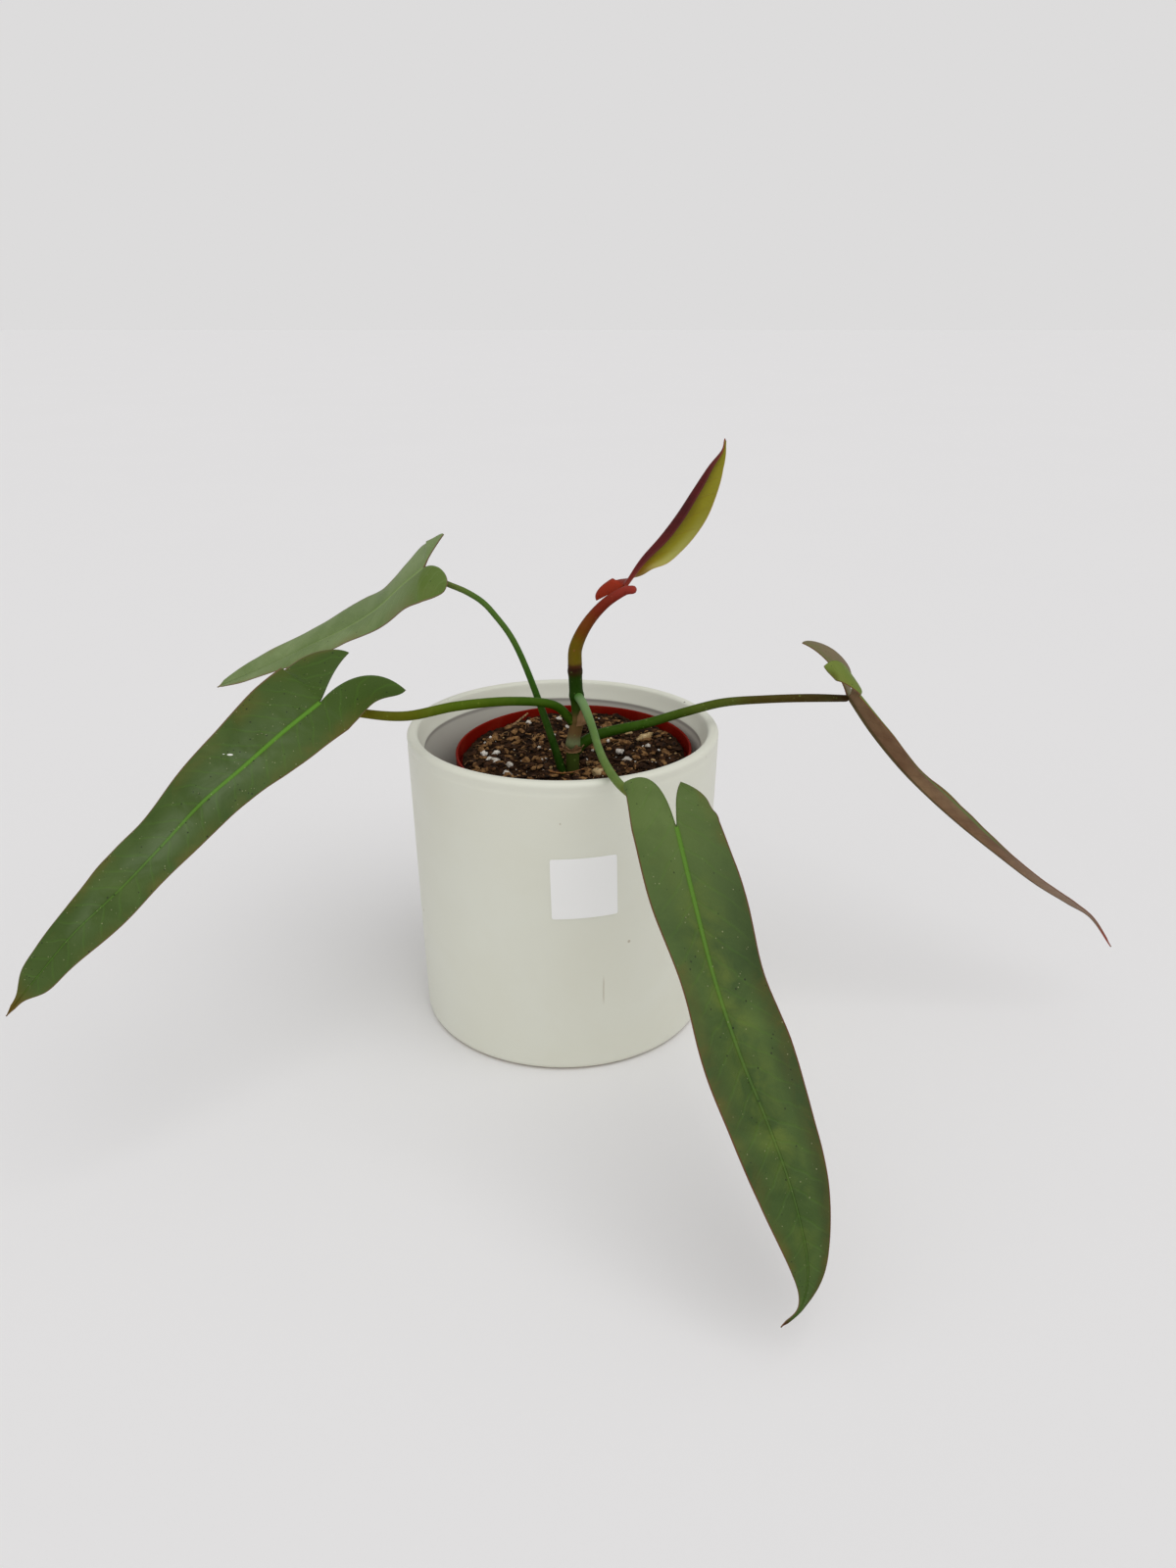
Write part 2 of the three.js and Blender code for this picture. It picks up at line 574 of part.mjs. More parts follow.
// The nursery pot leans a little inside the cover pot. Its own frame has the foot's centre at the
// origin.
function nurseryMatrix() {
  const axis = vec(NURSERY.lean).normalize();
  const foot = vec(NURSERY.rimCentre).addScaledVector(axis, -NURSERY.height);
  const turn = new THREE.Quaternion().setFromUnitVectors(new THREE.Vector3(0, 0, 1), axis);
  return new THREE.Matrix4().compose(foot, turn, new THREE.Vector3(1, 1, 1));
}

// Outer radius of the nursery pot's tapered wall at a height in its own frame.
function nurseryWall(z) {
  const under = NURSERY.rimRadius - NURSERY.rimStep;
  return NURSERY.footRadius + (under - NURSERY.footRadius) * z / NURSERY.height;
}

function nurseryPotGeometry() {
  const n = NURSERY;
  const bandZ = n.height - n.rimBand;
  const bandStart = bandZ + n.rimStep;
  const profile = [
    [0, 0],
    [nurseryWall(0), 0],
    [nurseryWall(bandZ), bandZ],
    [n.rimRadius - n.rimTaper, bandStart],
    [n.rimRadius, n.height - n.rimEdge],
    [n.rimRadius - n.rimEdge, n.height],
    [n.rimRadius - n.wall, n.height],
    [n.rimRadius - n.wall - n.rimTaper, bandStart],
    [nurseryWall(bandZ) - n.wall, bandZ],
    [nurseryWall(0) - n.wall, n.floor],
    [0, n.floor],
  ];
  const geometry = spun(profile, n.segments);
  geometry.applyMatrix4(nurseryMatrix());
  return geometry;
}

// Potting mix: low waves on top, with perlite and bark crumbs half sunk into it

function mixHeight(x, y) {
  const waves = Math.sin(0.21 * x + 0.6) * Math.cos(0.17 * y)
    + 0.6 * Math.sin(0.43 * x - 0.31 * y) + 0.4 * Math.cos(0.71 * y + 0.5 * x);
  return NURSERY.height - MIX.belowRim + MIX.slope * y + MIX.relief * waves;
}

// Points of a strand that lies on the mix.
function strandPath(strand) {
  const place = nurseryMatrix();
  return strand.path.map(([x, y, above]) => {
    const point = new THREE.Vector3(x, y, mixHeight(x, y) + above);
    return point.applyMatrix4(place).toArray();
  });
}

function strandGeometry(strand, extra = 0) {
  const radiusAt = (s) => strand.radius * (1 - STRAND.taper * s);
  return stalk(strandPath(strand), radiusAt, STRAND.steps, STRAND.sides, extra);
}

function mixBodyGeometry() {
  const radiusAt = (z) => nurseryWall(z) - NURSERY.wall - GAP;
  const foot = NURSERY.floor + GAP;
  const positions = [0, 0, foot, 0, 0, mixHeight(0, 0)];
  const triangles = [];
  const { rings, segments } = MIX;
  const rim = radiusAt(NURSERY.height - NURSERY.rimBand) - MIX.edgeRoom;
  const ringStart = (k) => 2 + k * segments;
  for (let k = 1; k <= rings + 1; k += 1) {
    for (let i = 0; i < segments; i += 1) {
      const a = 2 * Math.PI * i / segments;
      const r = k <= rings ? rim * k / rings : radiusAt(foot);
      const [x, y] = [r * Math.cos(a), r * Math.sin(a)];
      positions.push(x, y, k <= rings ? mixHeight(x, y) : foot);
    }
  }
  for (let i = 0; i < segments; i += 1) {
    const next = (i + 1) % segments;
    triangles.push(1, ringStart(0) + i, ringStart(0) + next);
    triangles.push(0, ringStart(rings) + next, ringStart(rings) + i);
    for (let k = 0; k < rings; k += 1) {
      const [a, b] = [ringStart(k) + i, ringStart(k) + next];
      const [c, d] = [ringStart(k + 1) + next, ringStart(k + 1) + i];
      triangles.push(a, c, b, a, d, c);
    }
  }
  return indexedGeometry(positions, triangles);
}

function crumbGeometry(random, size, stretch, turn) {
  const geometry = weld(new THREE.IcosahedronGeometry(1, 0));
  const position = geometry.attributes.position;
  for (let i = 0; i < position.count; i += 1) {
    const k = size * (0.85 + 0.3 * random());
    const [x, y, z] = [position.getX(i), position.getY(i), position.getZ(i)];
    position.setXYZ(i, x * k * stretch, y * k, z * k * CRUMBS.flatness);
  }
  geometry.rotateY(0.5 * (random() - 0.5));
  geometry.rotateZ(THREE.MathUtils.degToRad(turn));
  return geometry;
}

function mixSolid(cutters) {
  const random = seededRandom(CRUMBS.seed);
  const reach = nurseryWall(NURSERY.height - NURSERY.rimBand) - CRUMBS.clearOfWall;
  const [least, spread] = CRUMBS.smallSize;
  const stem = vec(STEM.path[1]).applyMatrix4(nurseryMatrix().invert());
  const crumbs = [...CRUMBS.large];
  while (crumbs.length < CRUMBS.large.length + CRUMBS.small) {
    const r = reach * Math.sqrt(random());
    const a = 2 * Math.PI * random();
    const [x, y] = [r * Math.cos(a), r * Math.sin(a)];
    const far = crumbs.every((c) => Math.hypot(x - c[0], y - c[1]) > CRUMBS.apart + c[2]);
    if (far && Math.hypot(x - stem.x, y - stem.y) > CRUMBS.clearOfStem) {
      const size = least + spread * random();
      crumbs.push([x, y, size, 1 + 0.8 * random(), 360 * random()]);
    }
  }
  let solid = toSolid(mixBodyGeometry());
  for (const [x, y, size, stretch, turn] of crumbs) {
    const crumb = crumbGeometry(random, size, stretch, turn);
    crumb.translate(x, y, mixHeight(x, y) + CRUMBS.sunk * size);
    solid = solid.add(toSolid(crumb));
  }
  const geometry = toGeometry(solid);
  geometry.applyMatrix4(nurseryMatrix());
  solid = toSolid(geometry);
  for (const cutter of cutters) solid = solid.subtract(cutter);
  return largestPiece(solid);
}

// Assembly

const plant = new THREE.Group();
plant.name = 'potted_philodendron';

function piece(name, geometry, color, roughness) {
  const material = new THREE.MeshStandardMaterial({ color, roughness, metalness: 0 });
  const mesh = new THREE.Mesh(geometry, material);
  mesh.name = name;
  plant.add(mesh);
}

piece('cover_pot', toGeometry(toSolid(coverPotGeometry())), 0xe6e7df, 0.35);
piece('pot_label', labelGeometry(), 0xf4f4f2, 0.7);
piece('nursery_pot', toGeometry(toSolid(nurseryPotGeometry())), 0x9c3d2e, 0.5);

const stemRoom = toSolid(stemGeometry(GAP));
piece('stem', stemGeometry(), 0x4d6b2c, 0.5);

const petioleRoom = {};
for (const [name, leaf] of Object.entries(LEAVES)) {
  petioleRoom[name] = toSolid(petioleGeometry(leaf.petiole, GAP));
  const petiole = toSolid(petioleGeometry(leaf.petiole)).subtract(stemRoom);
  const blade = toSolid(bladeGeometry(leaf)).subtract(petioleRoom[name]);
  piece(`petiole_${name}`, toGeometry(largestPiece(petiole)), 0x66753a, 0.5);
  piece(`blade_${name}`, toGeometry(largestPiece(blade)), leaf.color, 0.45);
}

for (const [name, sheath] of Object.entries(SHEATHS)) {
  let solid = toSolid(sheathGeometry(sheath)).subtract(stemRoom);
  for (const room of Object.values(petioleRoom)) solid = solid.subtract(room);
  piece(name, toGeometry(largestPiece(solid)), 0x8a6240, 0.8);
}

const mixCutters = [stemRoom, petioleRoom.left_back, petioleRoom.right];
for (const [name, strand] of Object.entries({ root_fibre: FIBRE, twig: TWIG })) {
  piece(name, strandGeometry(strand), 0xa5875a, 0.9);
  mixCutters.push(toSolid(strandGeometry(strand, GAP)));
}
piece('potting_mix', toGeometry(mixSolid(mixCutters)), 0x35261c, 0.95);

export default plant;
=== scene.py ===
"""Visual model of a young long-leaved philodendron in a glazed cover pot.

The plant grows in a leaning brick-red nursery pot that stands inside a round off-white cover
pot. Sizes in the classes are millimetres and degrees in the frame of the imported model; they
become metres when a mesh is made.
"""

import logging
import math
import random
from dataclasses import dataclass, field
from enum import Enum
from typing import Callable, Iterable, Sequence

import bmesh
import bpy
from mathutils import Matrix, Vector, noise


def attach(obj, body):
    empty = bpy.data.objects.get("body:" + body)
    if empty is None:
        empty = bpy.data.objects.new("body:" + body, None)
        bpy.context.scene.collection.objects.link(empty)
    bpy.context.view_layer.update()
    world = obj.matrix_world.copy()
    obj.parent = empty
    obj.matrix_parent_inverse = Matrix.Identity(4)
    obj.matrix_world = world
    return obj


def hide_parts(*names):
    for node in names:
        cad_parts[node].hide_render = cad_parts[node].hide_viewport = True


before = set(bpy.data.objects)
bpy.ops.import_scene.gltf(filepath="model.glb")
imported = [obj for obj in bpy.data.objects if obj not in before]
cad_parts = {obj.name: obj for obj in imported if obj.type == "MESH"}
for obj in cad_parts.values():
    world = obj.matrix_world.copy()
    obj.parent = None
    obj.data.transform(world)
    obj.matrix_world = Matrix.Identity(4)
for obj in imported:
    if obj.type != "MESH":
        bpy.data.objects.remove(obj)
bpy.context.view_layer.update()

MM = 0.001
Point = tuple[float, float, float]
Span = tuple[float, float]
Numbers = tuple[float, ...]
Colour = tuple[float, float, float, float]
Node = bpy.types.Node
Tree = bpy.types.NodeTree
Object = bpy.types.Object
Socket = bpy.types.NodeSocket
Sockets = bpy.types.bpy_prop_collection
Fed = Socket | float | int | tuple
Corner = bmesh.types.BMVert

log = logging.getLogger("philodendron")


# Curves and small helpers


def tone(red: float, green: float, blue: float) -> Colour:
    """Linear colour of a screen colour.

    Args:
        red: Red from 0 to 255.
        green: Green from 0 to 255.
        blue: Blue from 0 to 255.

    Returns:
        Red, green, blue and alpha as light values from 0 to 1.
    """
    light = [((c / 255 + 0.055) / 1.055) ** 2.4 if c > 10 else c / 255 / 12.92 for c in (red, green, blue)]
    return (light[0], light[1], light[2], 1.0)


def shades(*stops: tuple[float, float, float, float]) -> tuple[tuple[float, Colour], ...]:
    """Stops of a colour ramp, from rows of a place, a red, a green and a blue."""
    return tuple((place, tone(red, green, blue)) for place, red, green, blue in stops)


def along(values: Sequence[float] | Sequence[Vector], t: float) -> float | Vector:
    """Value on a smooth curve through equally spaced numbers or vectors.

    Args:
        values: The numbers or vectors, from start to end.
        t: Place on the curve, from 0 to 1.

    Returns:
        A number or a vector, as the values are.
    """
    last = len(values) - 1
    place = min(max(t, 0.0), 1.0) * last
    i = min(int(place), last - 1)
    f = place - i
    b, c = values[i], values[i + 1]
    a = values[i - 1] if i > 0 else 2 * b - c
    d = values[i + 2] if i + 2 <= last else 2 * c - b
    return b + 0.5 * f * (c - a + f * (2 * a - 5 * b + 4 * c - d + f * (3 * (b - c) + d - a)))


def ease(x: float, low: float = 0.0, high: float = 1.0) -> float:
    """Smooth step of x from 0 at low to 1 at high."""
    x = min(max((x - low) / (high - low), 0.0), 1.0)
    return x * x * (3 - 2 * x)


def vectors(points: Iterable[Point]) -> list[Vector]:
    """The points as vectors."""
    return [Vector(p) for p in points]


class Line:
    """A smooth line through points, measured along its length."""

    SAMPLES = 400

    def __init__(self, points: Iterable[Point]) -> None:
        """Keeps the points and measures the line.

        Args:
            points: The points that the line goes through.
        """
        self.points = vectors(points)
        self.spots = [along(self.points, k / self.SAMPLES) for k in range(self.SAMPLES + 1)]
        self.marks = [0.0]
        for a, b in zip(self.spots, self.spots[1:]):
            self.marks.append(self.marks[-1] + (b - a).length)

    @property
    def length(self) -> float:
        """Length of the whole line."""
        return self.marks[-1]

    def share(self, s: float) -> Vector:
        """Point at a share s of the length.

        Args:
            s: Share of the length.

        Returns:
            The point.
        """
        reach = min(max(s, 0.0), 1.0) * self.length
        k = next((i for i, mark in enumerate(self.marks[1:]) if mark >= reach), self.SAMPLES - 1)
        span = self.marks[k + 1] - self.marks[k]
        return self.spots[k].lerp(self.spots[k + 1], (reach - self.marks[k]) / max(span, 1e-9))

    def heading(self, s: float) -> Vector:
        """Direction of the line at a share s of the length."""
        return (self.share(s + 0.002) - self.share(s - 0.002)).normalized()


# Node trees


class Board:
    """A node tree with short calls for adding and joining nodes."""

    def __init__(self, tree: Tree) -> None:
        """Keeps the tree.

        Args:
            tree: The node tree to work on.
        """
        self.tree = tree

    def feed(self, socket: Socket, value: Fed) -> None:
        """Joins an output to a socket, or sets the socket to a plain value.

        Args:
            socket: Where the value goes.
            value: An output, a number or a colour.
        """
        if isinstance(value, Socket):
            self.tree.links.new(value, socket)
        else:
            socket.default_value = value

    def add(self, kind: str, feeds: dict | None = None, **settings) -> Node:
        """Adds a node.

        Args:
            kind: Node type without its ShaderNode prefix.
            feeds: Values or outputs for its inputs, by name or number.
            settings: Properties of the node.

        Returns:
            The new node.
        """
        node = self.tree.nodes.new("ShaderNode" + kind)
        for name, value in settings.items():
            setattr(node, name, value)
        for name, value in (feeds or {}).items():
            self.feed(node.inputs[name], value)
        return node

    def math(self, operation: str, a: Fed, b: Fed = 0.0, clamp: bool = False) -> Socket:
        """Output of a Math node on a and b."""
        return self.add("Math", {0: a, 1: b}, operation=operation, use_clamp=clamp).outputs[0]

    def times(self, a: Fed, b: Fed) -> Socket:
        """Product of a and b."""
        return self.math("MULTIPLY", a, b)

    def parts(self, vector: Fed) -> Sockets:
        """The three parts of a vector."""
        return self.add("SeparateXYZ", {0: vector}).outputs

    def span(self, value: Fed, low: float, high: float, start: float = 0.0, end: float = 1.0) -> Socket:
        """Smooth step of a value between low and high, put between start and end."""
        feeds = {"Value": value, "From Min": low, "From Max": high, "To Min": start, "To Max": end}
        return self.add("MapRange", feeds, interpolation_type="SMOOTHSTEP").outputs[0]

    def reach(self, value: Fed, limits: Span, start: float = 0.0, end: float = 1.0) -> Socket:
        """Smooth step of a length between two limits in millimetres, put between start and end."""
        return self.span(value, limits[0] * MM, limits[1] * MM, start, end)

    def mix(self, factor: Fed, a: Fed, b: Fed) -> Socket:
        """Colour between a and b."""
        return self.add("Mix", {0: factor, 6: a, 7: b}, data_type="RGBA").outputs[2]

    def ramp(self, factor: Fed, stops: Sequence[tuple[float, Colour]]) -> Socket:
        """Colour on a ramp of (place, colour) stops.

        Args:
            factor: Place on the ramp.
            stops: Places and colours, in order.

        Returns:
            The colour.
        """
        node = self.add("ValToRGB", {"Fac": factor})
        node.color_ramp.interpolation = "EASE"
        marks = node.color_ramp.elements
        while len(marks) < len(stops):
            marks.new(0.5)
        for mark, (place, colour) in zip(marks, stops):
            mark.position = place
            mark.color = colour
        return node.outputs[0]

    def grain(
        self, vector: Fed, scale: Fed, detail: float = 3.0, rough: float = 0.55, warp: float = 0.0
    ) -> Socket:
        """Noise from 0 to 1 at a scale."""
        feeds = {"Vector": vector, "Scale": scale, "Detail": detail, "Roughness": rough, "Distortion": warp}
        return self.add("TexNoise", feeds).outputs[0]

    def place(self) -> Socket:
        """Object coordinates."""
        return self.add("TexCoord").outputs["Object"]

    def read(self, name: str) -> Sockets:
        """The three parts of one of the piece's own attributes."""
        return self.parts(self.add("Attribute", attribute_name=name).outputs["Vector"])

    def group(self, tree: Tree, feeds: Sequence[Fed]) -> Sockets:
        """Outputs of a node group placed with its own values, in the order of its inputs.

        Args:
            tree: The node group.
            feeds: Values of its inputs.

        Returns:
            The outputs.
        """
        node = self.add("Group", node_tree=tree)
        for socket, value in zip(node.inputs, feeds):
            self.feed(socket, value)
        return node.outputs


class Effect(Enum):
    """Shader effects that several finishes share."""

    FLECKS = "flecks"
    MOTTLE = "mottle"
    VEINS = "veins"


class Effects:
    """The shared node groups, each built once.

    Sizes of the veins are millimetres on the blade.
    """

    FLECK_SIZES = 0.35
    FLECK_EDGE = 0.45
    VEIN_SPACING = 8.5
    VEIN_SLANT = 0.85
    VEIN_DEPTH = 0.22
    FINE_VEINS = 5.0
    FINE_DEPTH = 0.05
    RIB_REACH = (1.15, 0.35)
    RIB_EDGE = (0.45, 1.15)
    RIB_DEPTH = 0.6
    MARGIN = (0.955, 0.992)
    SOCKETS = {
        Effect.FLECKS: (["Vector", "Scale", "Share", "Size"], ["Mask"]),
        Effect.MOTTLE: (["Vector", "Scale", "Low", "High"], ["Mask"]),
        Effect.VEINS: (["Across", "Along", "Share", "Tip"], ["Rib", "Veins", "Margin", "Height"]),
    }

    def __init__(self) -> None:
        """Starts with no group built."""
        self.built: dict[Effect, Tree] = {}

    def get(self, effect: Effect) -> Tree:
        """The node group of an effect.

        Args:
            effect: Which effect.

        Returns:
            Its node tree, built at the first call.
        """
        if effect not in self.built:
            tree = bpy.data.node_groups.new(effect.value, "ShaderNodeTree")
            takes, gives = self.SOCKETS[effect]
            for name in takes:
                kind = "NodeSocketVector" if name == "Vector" else "NodeSocketFloat"
                tree.interface.new_socket(name=name, in_out="INPUT", socket_type=kind)
            for name in gives:
                tree.interface.new_socket(name=name, in_out="OUTPUT", socket_type="NodeSocketFloat")
            start = tree.nodes.new("NodeGroupInput").outputs
            end = tree.nodes.new("NodeGroupOutput").inputs
            getattr(self, "make_" + effect.value)(Board(tree), start, end)
            self.built[effect] = tree
        return self.built[effect]

    def flecks(self, board: Board, vector: Fed, scale: float, share: float, size: float) -> Socket:
        """Mask of small flecks in a share of the cells of a pattern."""
        return board.group(self.get(Effect.FLECKS), (vector, scale, share, size))["Mask"]

    def mottle(self, board: Board, vector: Fed, scale: float, low: float, high: float) -> Socket:
        """Mask of soft blotches where a noise runs from low to high."""
        return board.group(self.get(Effect.MOTTLE), (vector, scale, low, high))["Mask"]

    def veins(self, board: Board, flat: Sequence[Fed], leaf: Sequence[Fed]) -> Sockets:
        """Masks and relief of a blade's veins, from its own two attributes."""
        return board.group(self.get(Effect.VEINS), (flat[0], flat[1], leaf[0], leaf[1]))

    def make_flecks(self, board: Board, start: Sockets, end: Sockets) -> None:
        """Fills the group of small round flecks.

        Args:
            board: The group's board.
            start: What goes into the group.
            end: What comes out of it.
        """
        cells = board.add("TexVoronoi", {"Vector": start["Vector"], "Scale": start["Scale"]})
        pick = board.parts(cells.outputs["Color"])
        chosen = board.math("LESS_THAN", pick[0], start["Share"])
        reach = board.times(start["Size"], board.math("ADD", pick[1], self.FLECK_SIZES))
        near = board.math("SUBTRACT", 1.0, board.math("DIVIDE", cells.outputs["Distance"], reach), True)
        edge = board.span(near, 0.0, self.FLECK_EDGE)
        board.feed(end["Mask"], board.times(chosen, edge))

    def make_mottle(self, board: Board, start: Sockets, end: Sockets) -> None:
        """Fills the group of soft blotches, from 0 under Low to 1 over High.

        Args:
            board: The group's board.
            start: What goes into the group.
            end: What comes out of it.
        """
        cloud = board.grain(start["Vector"], start["Scale"], 4.0, 0.6, 0.6)
        part = board.math("SUBTRACT", cloud, start["Low"])
        whole = board.math("SUBTRACT", start["High"], start["Low"])
        board.feed(end["Mask"], board.math("DIVIDE", part, whole, True))

    def make_veins(self, board: Board, start: Sockets, end: Sockets) -> None:
        """Fills the group of a blade's midrib, side veins, margin and relief.

        Args:
            board: The group's board.
            start: What goes into the group.
            end: What comes out of it.
        """
        away = board.math("ABSOLUTE", start["Across"])
        width = board.span(start["Tip"], 0.0, 1.0, *self.RIB_REACH)
        rib = board.span(board.math("DIVIDE", away, width), *self.RIB_EDGE, 1.0, 0.0)
        rib = board.times(rib, board.span(start["Tip"], -0.03, 0.0))
        spot = board.add("CombineXYZ", {0: start["Across"], 1: start["Along"]}).outputs[0]
        stray = board.times(board.grain(spot, 0.09, 2.0), 0.7)
        lean = board.times(away, self.VEIN_SLANT)
        phase = board.math("DIVIDE", board.math("SUBTRACT", start["Along"], lean), self.VEIN_SPACING)
        phase = board.math("ADD", phase, stray)
        inside = board.math("ABSOLUTE", start["Share"])
        veins = board.times(self.beat(board, phase, 0.38), board.span(inside, 0.55, 0.97, 1.0, 0.15))
        fine = self.beat(board, board.times(phase, self.FINE_VEINS), 0.25)
        relief = board.times(rib, -self.RIB_DEPTH)
        for part, depth in ((veins, self.VEIN_DEPTH), (fine, self.FINE_DEPTH)):
            relief = board.math("ADD", relief, board.times(part, -depth))
        board.feed(end["Rib"], rib)
        board.feed(end["Veins"], veins)
        board.feed(end["Margin"], board.span(inside, *self.MARGIN))
        board.feed(end["Height"], relief)

    def beat(self, board: Board, phase: Fed, low: float) -> Socket:
        """One soft line at each whole number of the phase."""
        away = board.math("ABSOLUTE", board.math("SUBTRACT", board.math("FRACT", phase), 0.5))
        return board.span(away, low, 0.5)


effects = Effects()


# Finishes


@dataclass(frozen=True)
class Finish:
    """A plain finish that others build on."""

    name: str
    colour: Colour
    roughness: float = 0.5
    gloss: float = 0.5

    def material(self) -> bpy.types.Material:
        """The material, made at the first call.

        Returns:
            A node material with this finish.
        """
        found = bpy.data.materials.get(self.name)
        if found:
            return found
        material = bpy.data.materials.new(self.name)
        material.use_nodes = True
        material.diffuse_color = self.colour
        board = Board(material.node_tree)
        shader = material.node_tree.nodes["Principled BSDF"]
        feeds = {"Base Color": self.colour, "Roughness": self.roughness, "Specular IOR Level": self.gloss}
        for name, value in feeds.items():
            board.feed(shader.inputs[name], value)
        self.paint(board, shader)
        return material

    def paint(self, board: Board, shader: Node) -> None:
        """Adds the detail of the finish to its shader."""

    def relief(self, board: Board, shader: Node, height: Fed, depth: float) -> None:
        """Feeds a height to the shader's normal.

        Args:
            board: The material's board.
            shader: The Principled shader.
            height: Height from 0 to 1.
            depth: Depth of the relief in millimetres.
        """
        bump = board.add("Bump", {"Height": height, "Distance": depth * MM, "Strength": 1.0})
        board.feed(shader.inputs["Normal"], bump.outputs[0])


@dataclass(frozen=True)
class Glaze(Finish):
    """Satin glaze with a faint warm cloud, pinholes, specks and a rubbed brown streak.

    Attributes:
        mark: Colour of the pinholes and the streak.
        speck_reach: Radii where a speck starts to fade and where it ends.
        streak: Place of the streak across the front, and its lowest and highest point.
        streak_fade: Length over which its ends fade.
        inner_wall: Radii between which the painted shade of the pot's inside starts.
        inner_floor: Heights between which it starts.
        ledge: Heights between which it ends, under the ledge.
        line: Heights between which the painted shadow line under the ledge starts.
        foot: Heights between which the bare foot ring ends.
    """

    warm: Colour = tone(214, 212, 192)
    mark: Colour = tone(150, 128, 92)
    speck: Colour = tone(84, 76, 66)
    specks: tuple[Point, ...] = ((73.4, -16.2, 147.4), (61.4, 35.0, 149.3), (-60.0, 38.5, 148.9))
    speck_reach: Span = (0.25, 0.75)
    streak: Point = (19.8, 35.0, 53.0)
    streak_fade: float = 6.0
    inner_wall: Span = (67.0, 67.4)
    inner_floor: Span = (3.0, 5.0)
    ledge: Span = (140.4, 141.3)
    line: Span = (138.5, 140.0)
    # Painted shade of the pot's inside below the ledge, and the painted shadow line just under the ledge.
    shade: Colour = tone(116, 108, 108)
    painted_ledge_shadow: Colour = tone(96, 88, 86)
    foot: Span = (0.4, 1.6)
    bare: Colour = tone(196, 184, 160)

    def marks(self, board: Board, spot: Fed, colour: Fed) -> Socket:
        """Adds the dark specks on the lip and the faint upright brown streak.

        Args:
            board: The material's board.
            spot: Object coordinates.
            colour: Colour so far.

        Returns:
            The colour with the marks.
        """
        for speck in self.specks:
            place = tuple(c * MM for c in speck)
            away = board.add("VectorMath", {0: spot, 1: place}, operation="DISTANCE").outputs["Value"]
            colour = board.mix(board.reach(away, self.speck_reach, 0.8, 0.0), colour, self.speck)
        across, ahead, height = board.parts(spot)
        place, low, high = self.streak
        drift = board.times(board.grain(spot, 90.0), 0.8 * MM)
        away = board.math("ABSOLUTE", board.math("SUBTRACT", board.math("ADD", across, drift), place * MM))
        streak = board.reach(away, (0.1, 0.6), 0.35, 0.0)
        streak = board.times(streak, board.reach(height, (low, low + self.streak_fade)))
        streak = board.times(streak, board.reach(height, (high - self.streak_fade, high), 1.0, 0.0))
        streak = board.times(streak, board.math("LESS_THAN", ahead, 0.0))
        return board.mix(streak, colour, self.mark)

    def paint(self, board: Board, shader: Node) -> None:
        """Cloud, pinholes, marks, painted shade inside the pot with a painted shadow line under the ledge,
        the unglazed foot ring and slight waves in the glaze.

        Args:
            board: The material's board.
            shader: The Principled shader.
        """
        spot = board.place()
        cloud = effects.mottle(board, spot, 14.0, 0.35, 0.75)
        colour = board.mix(board.times(cloud, 0.35), self.colour, self.warm)
        holes = effects.flecks(board, spot, 260.0, 0.012, 0.22)
        colour = board.mix(board.times(holes, 0.55), colour, self.mark)
        colour = self.marks(board, spot, colour)
        height = board.parts(spot)[2]
        flat = board.add("VectorMath", {0: spot, 1: (1.0, 1.0, 0.0)}, operation="MULTIPLY").outputs[0]
        radius = board.add("VectorMath", {0: flat}, operation="LENGTH").outputs["Value"]
        # Painted shade on the inside wall below the ledge, with a darker painted shadow line just under it.
        inside = board.reach(radius, self.inner_wall, 1.0, 0.0)
        inside = board.times(inside, board.reach(height, self.inner_floor))
        inside = board.times(inside, board.reach(height, self.ledge, 1.0, 0.0))
        line = board.times(inside, board.reach(height, self.line))
        colour = board.mix(board.times(inside, 0.45), colour, self.shade)
        colour = board.mix(board.times(line, 0.5), colour, self.painted_ledge_shadow)
        foot = board.reach(height, self.foot, 1.0, 0.0)
        colour = board.mix(foot, colour, self.bare)
        board.feed(shader.inputs["Base Color"], colour)
        rough = board.math("ADD", board.times(cloud, 0.08), self.roughness)
        board.feed(shader.inputs["Roughness"], board.math("ADD", rough, board.times(foot, 0.4), True))
        waves = board.grain(spot, 34.0, 3.0)
        fine = board.times(board.grain(spot, 420.0, 2.0), 0.10)
        self.relief(board, shader, board.math("ADD", waves, fine), 0.10)


@dataclass(frozen=True)
class Paper(Finish):
    """Plain white label paper."""

    shade: Colour = tone(150, 150, 146)

    def paint(self, board: Board, shader: Node) -> None:
        """Fine paper fibres.

        Args:
            board: The material's board.
            shader: The Principled shader.
        """
        spot = board.place()
        fibres = board.grain(spot, 900.0, 4.0, 0.7, 0.4)
        shade = board.span(fibres, 0.3, 0.7, 0.0, 0.05)
        board.feed(shader.inputs["Base Color"], board.mix(shade, self.colour, self.shade))
        self.relief(board, shader, fibres, 0.03)


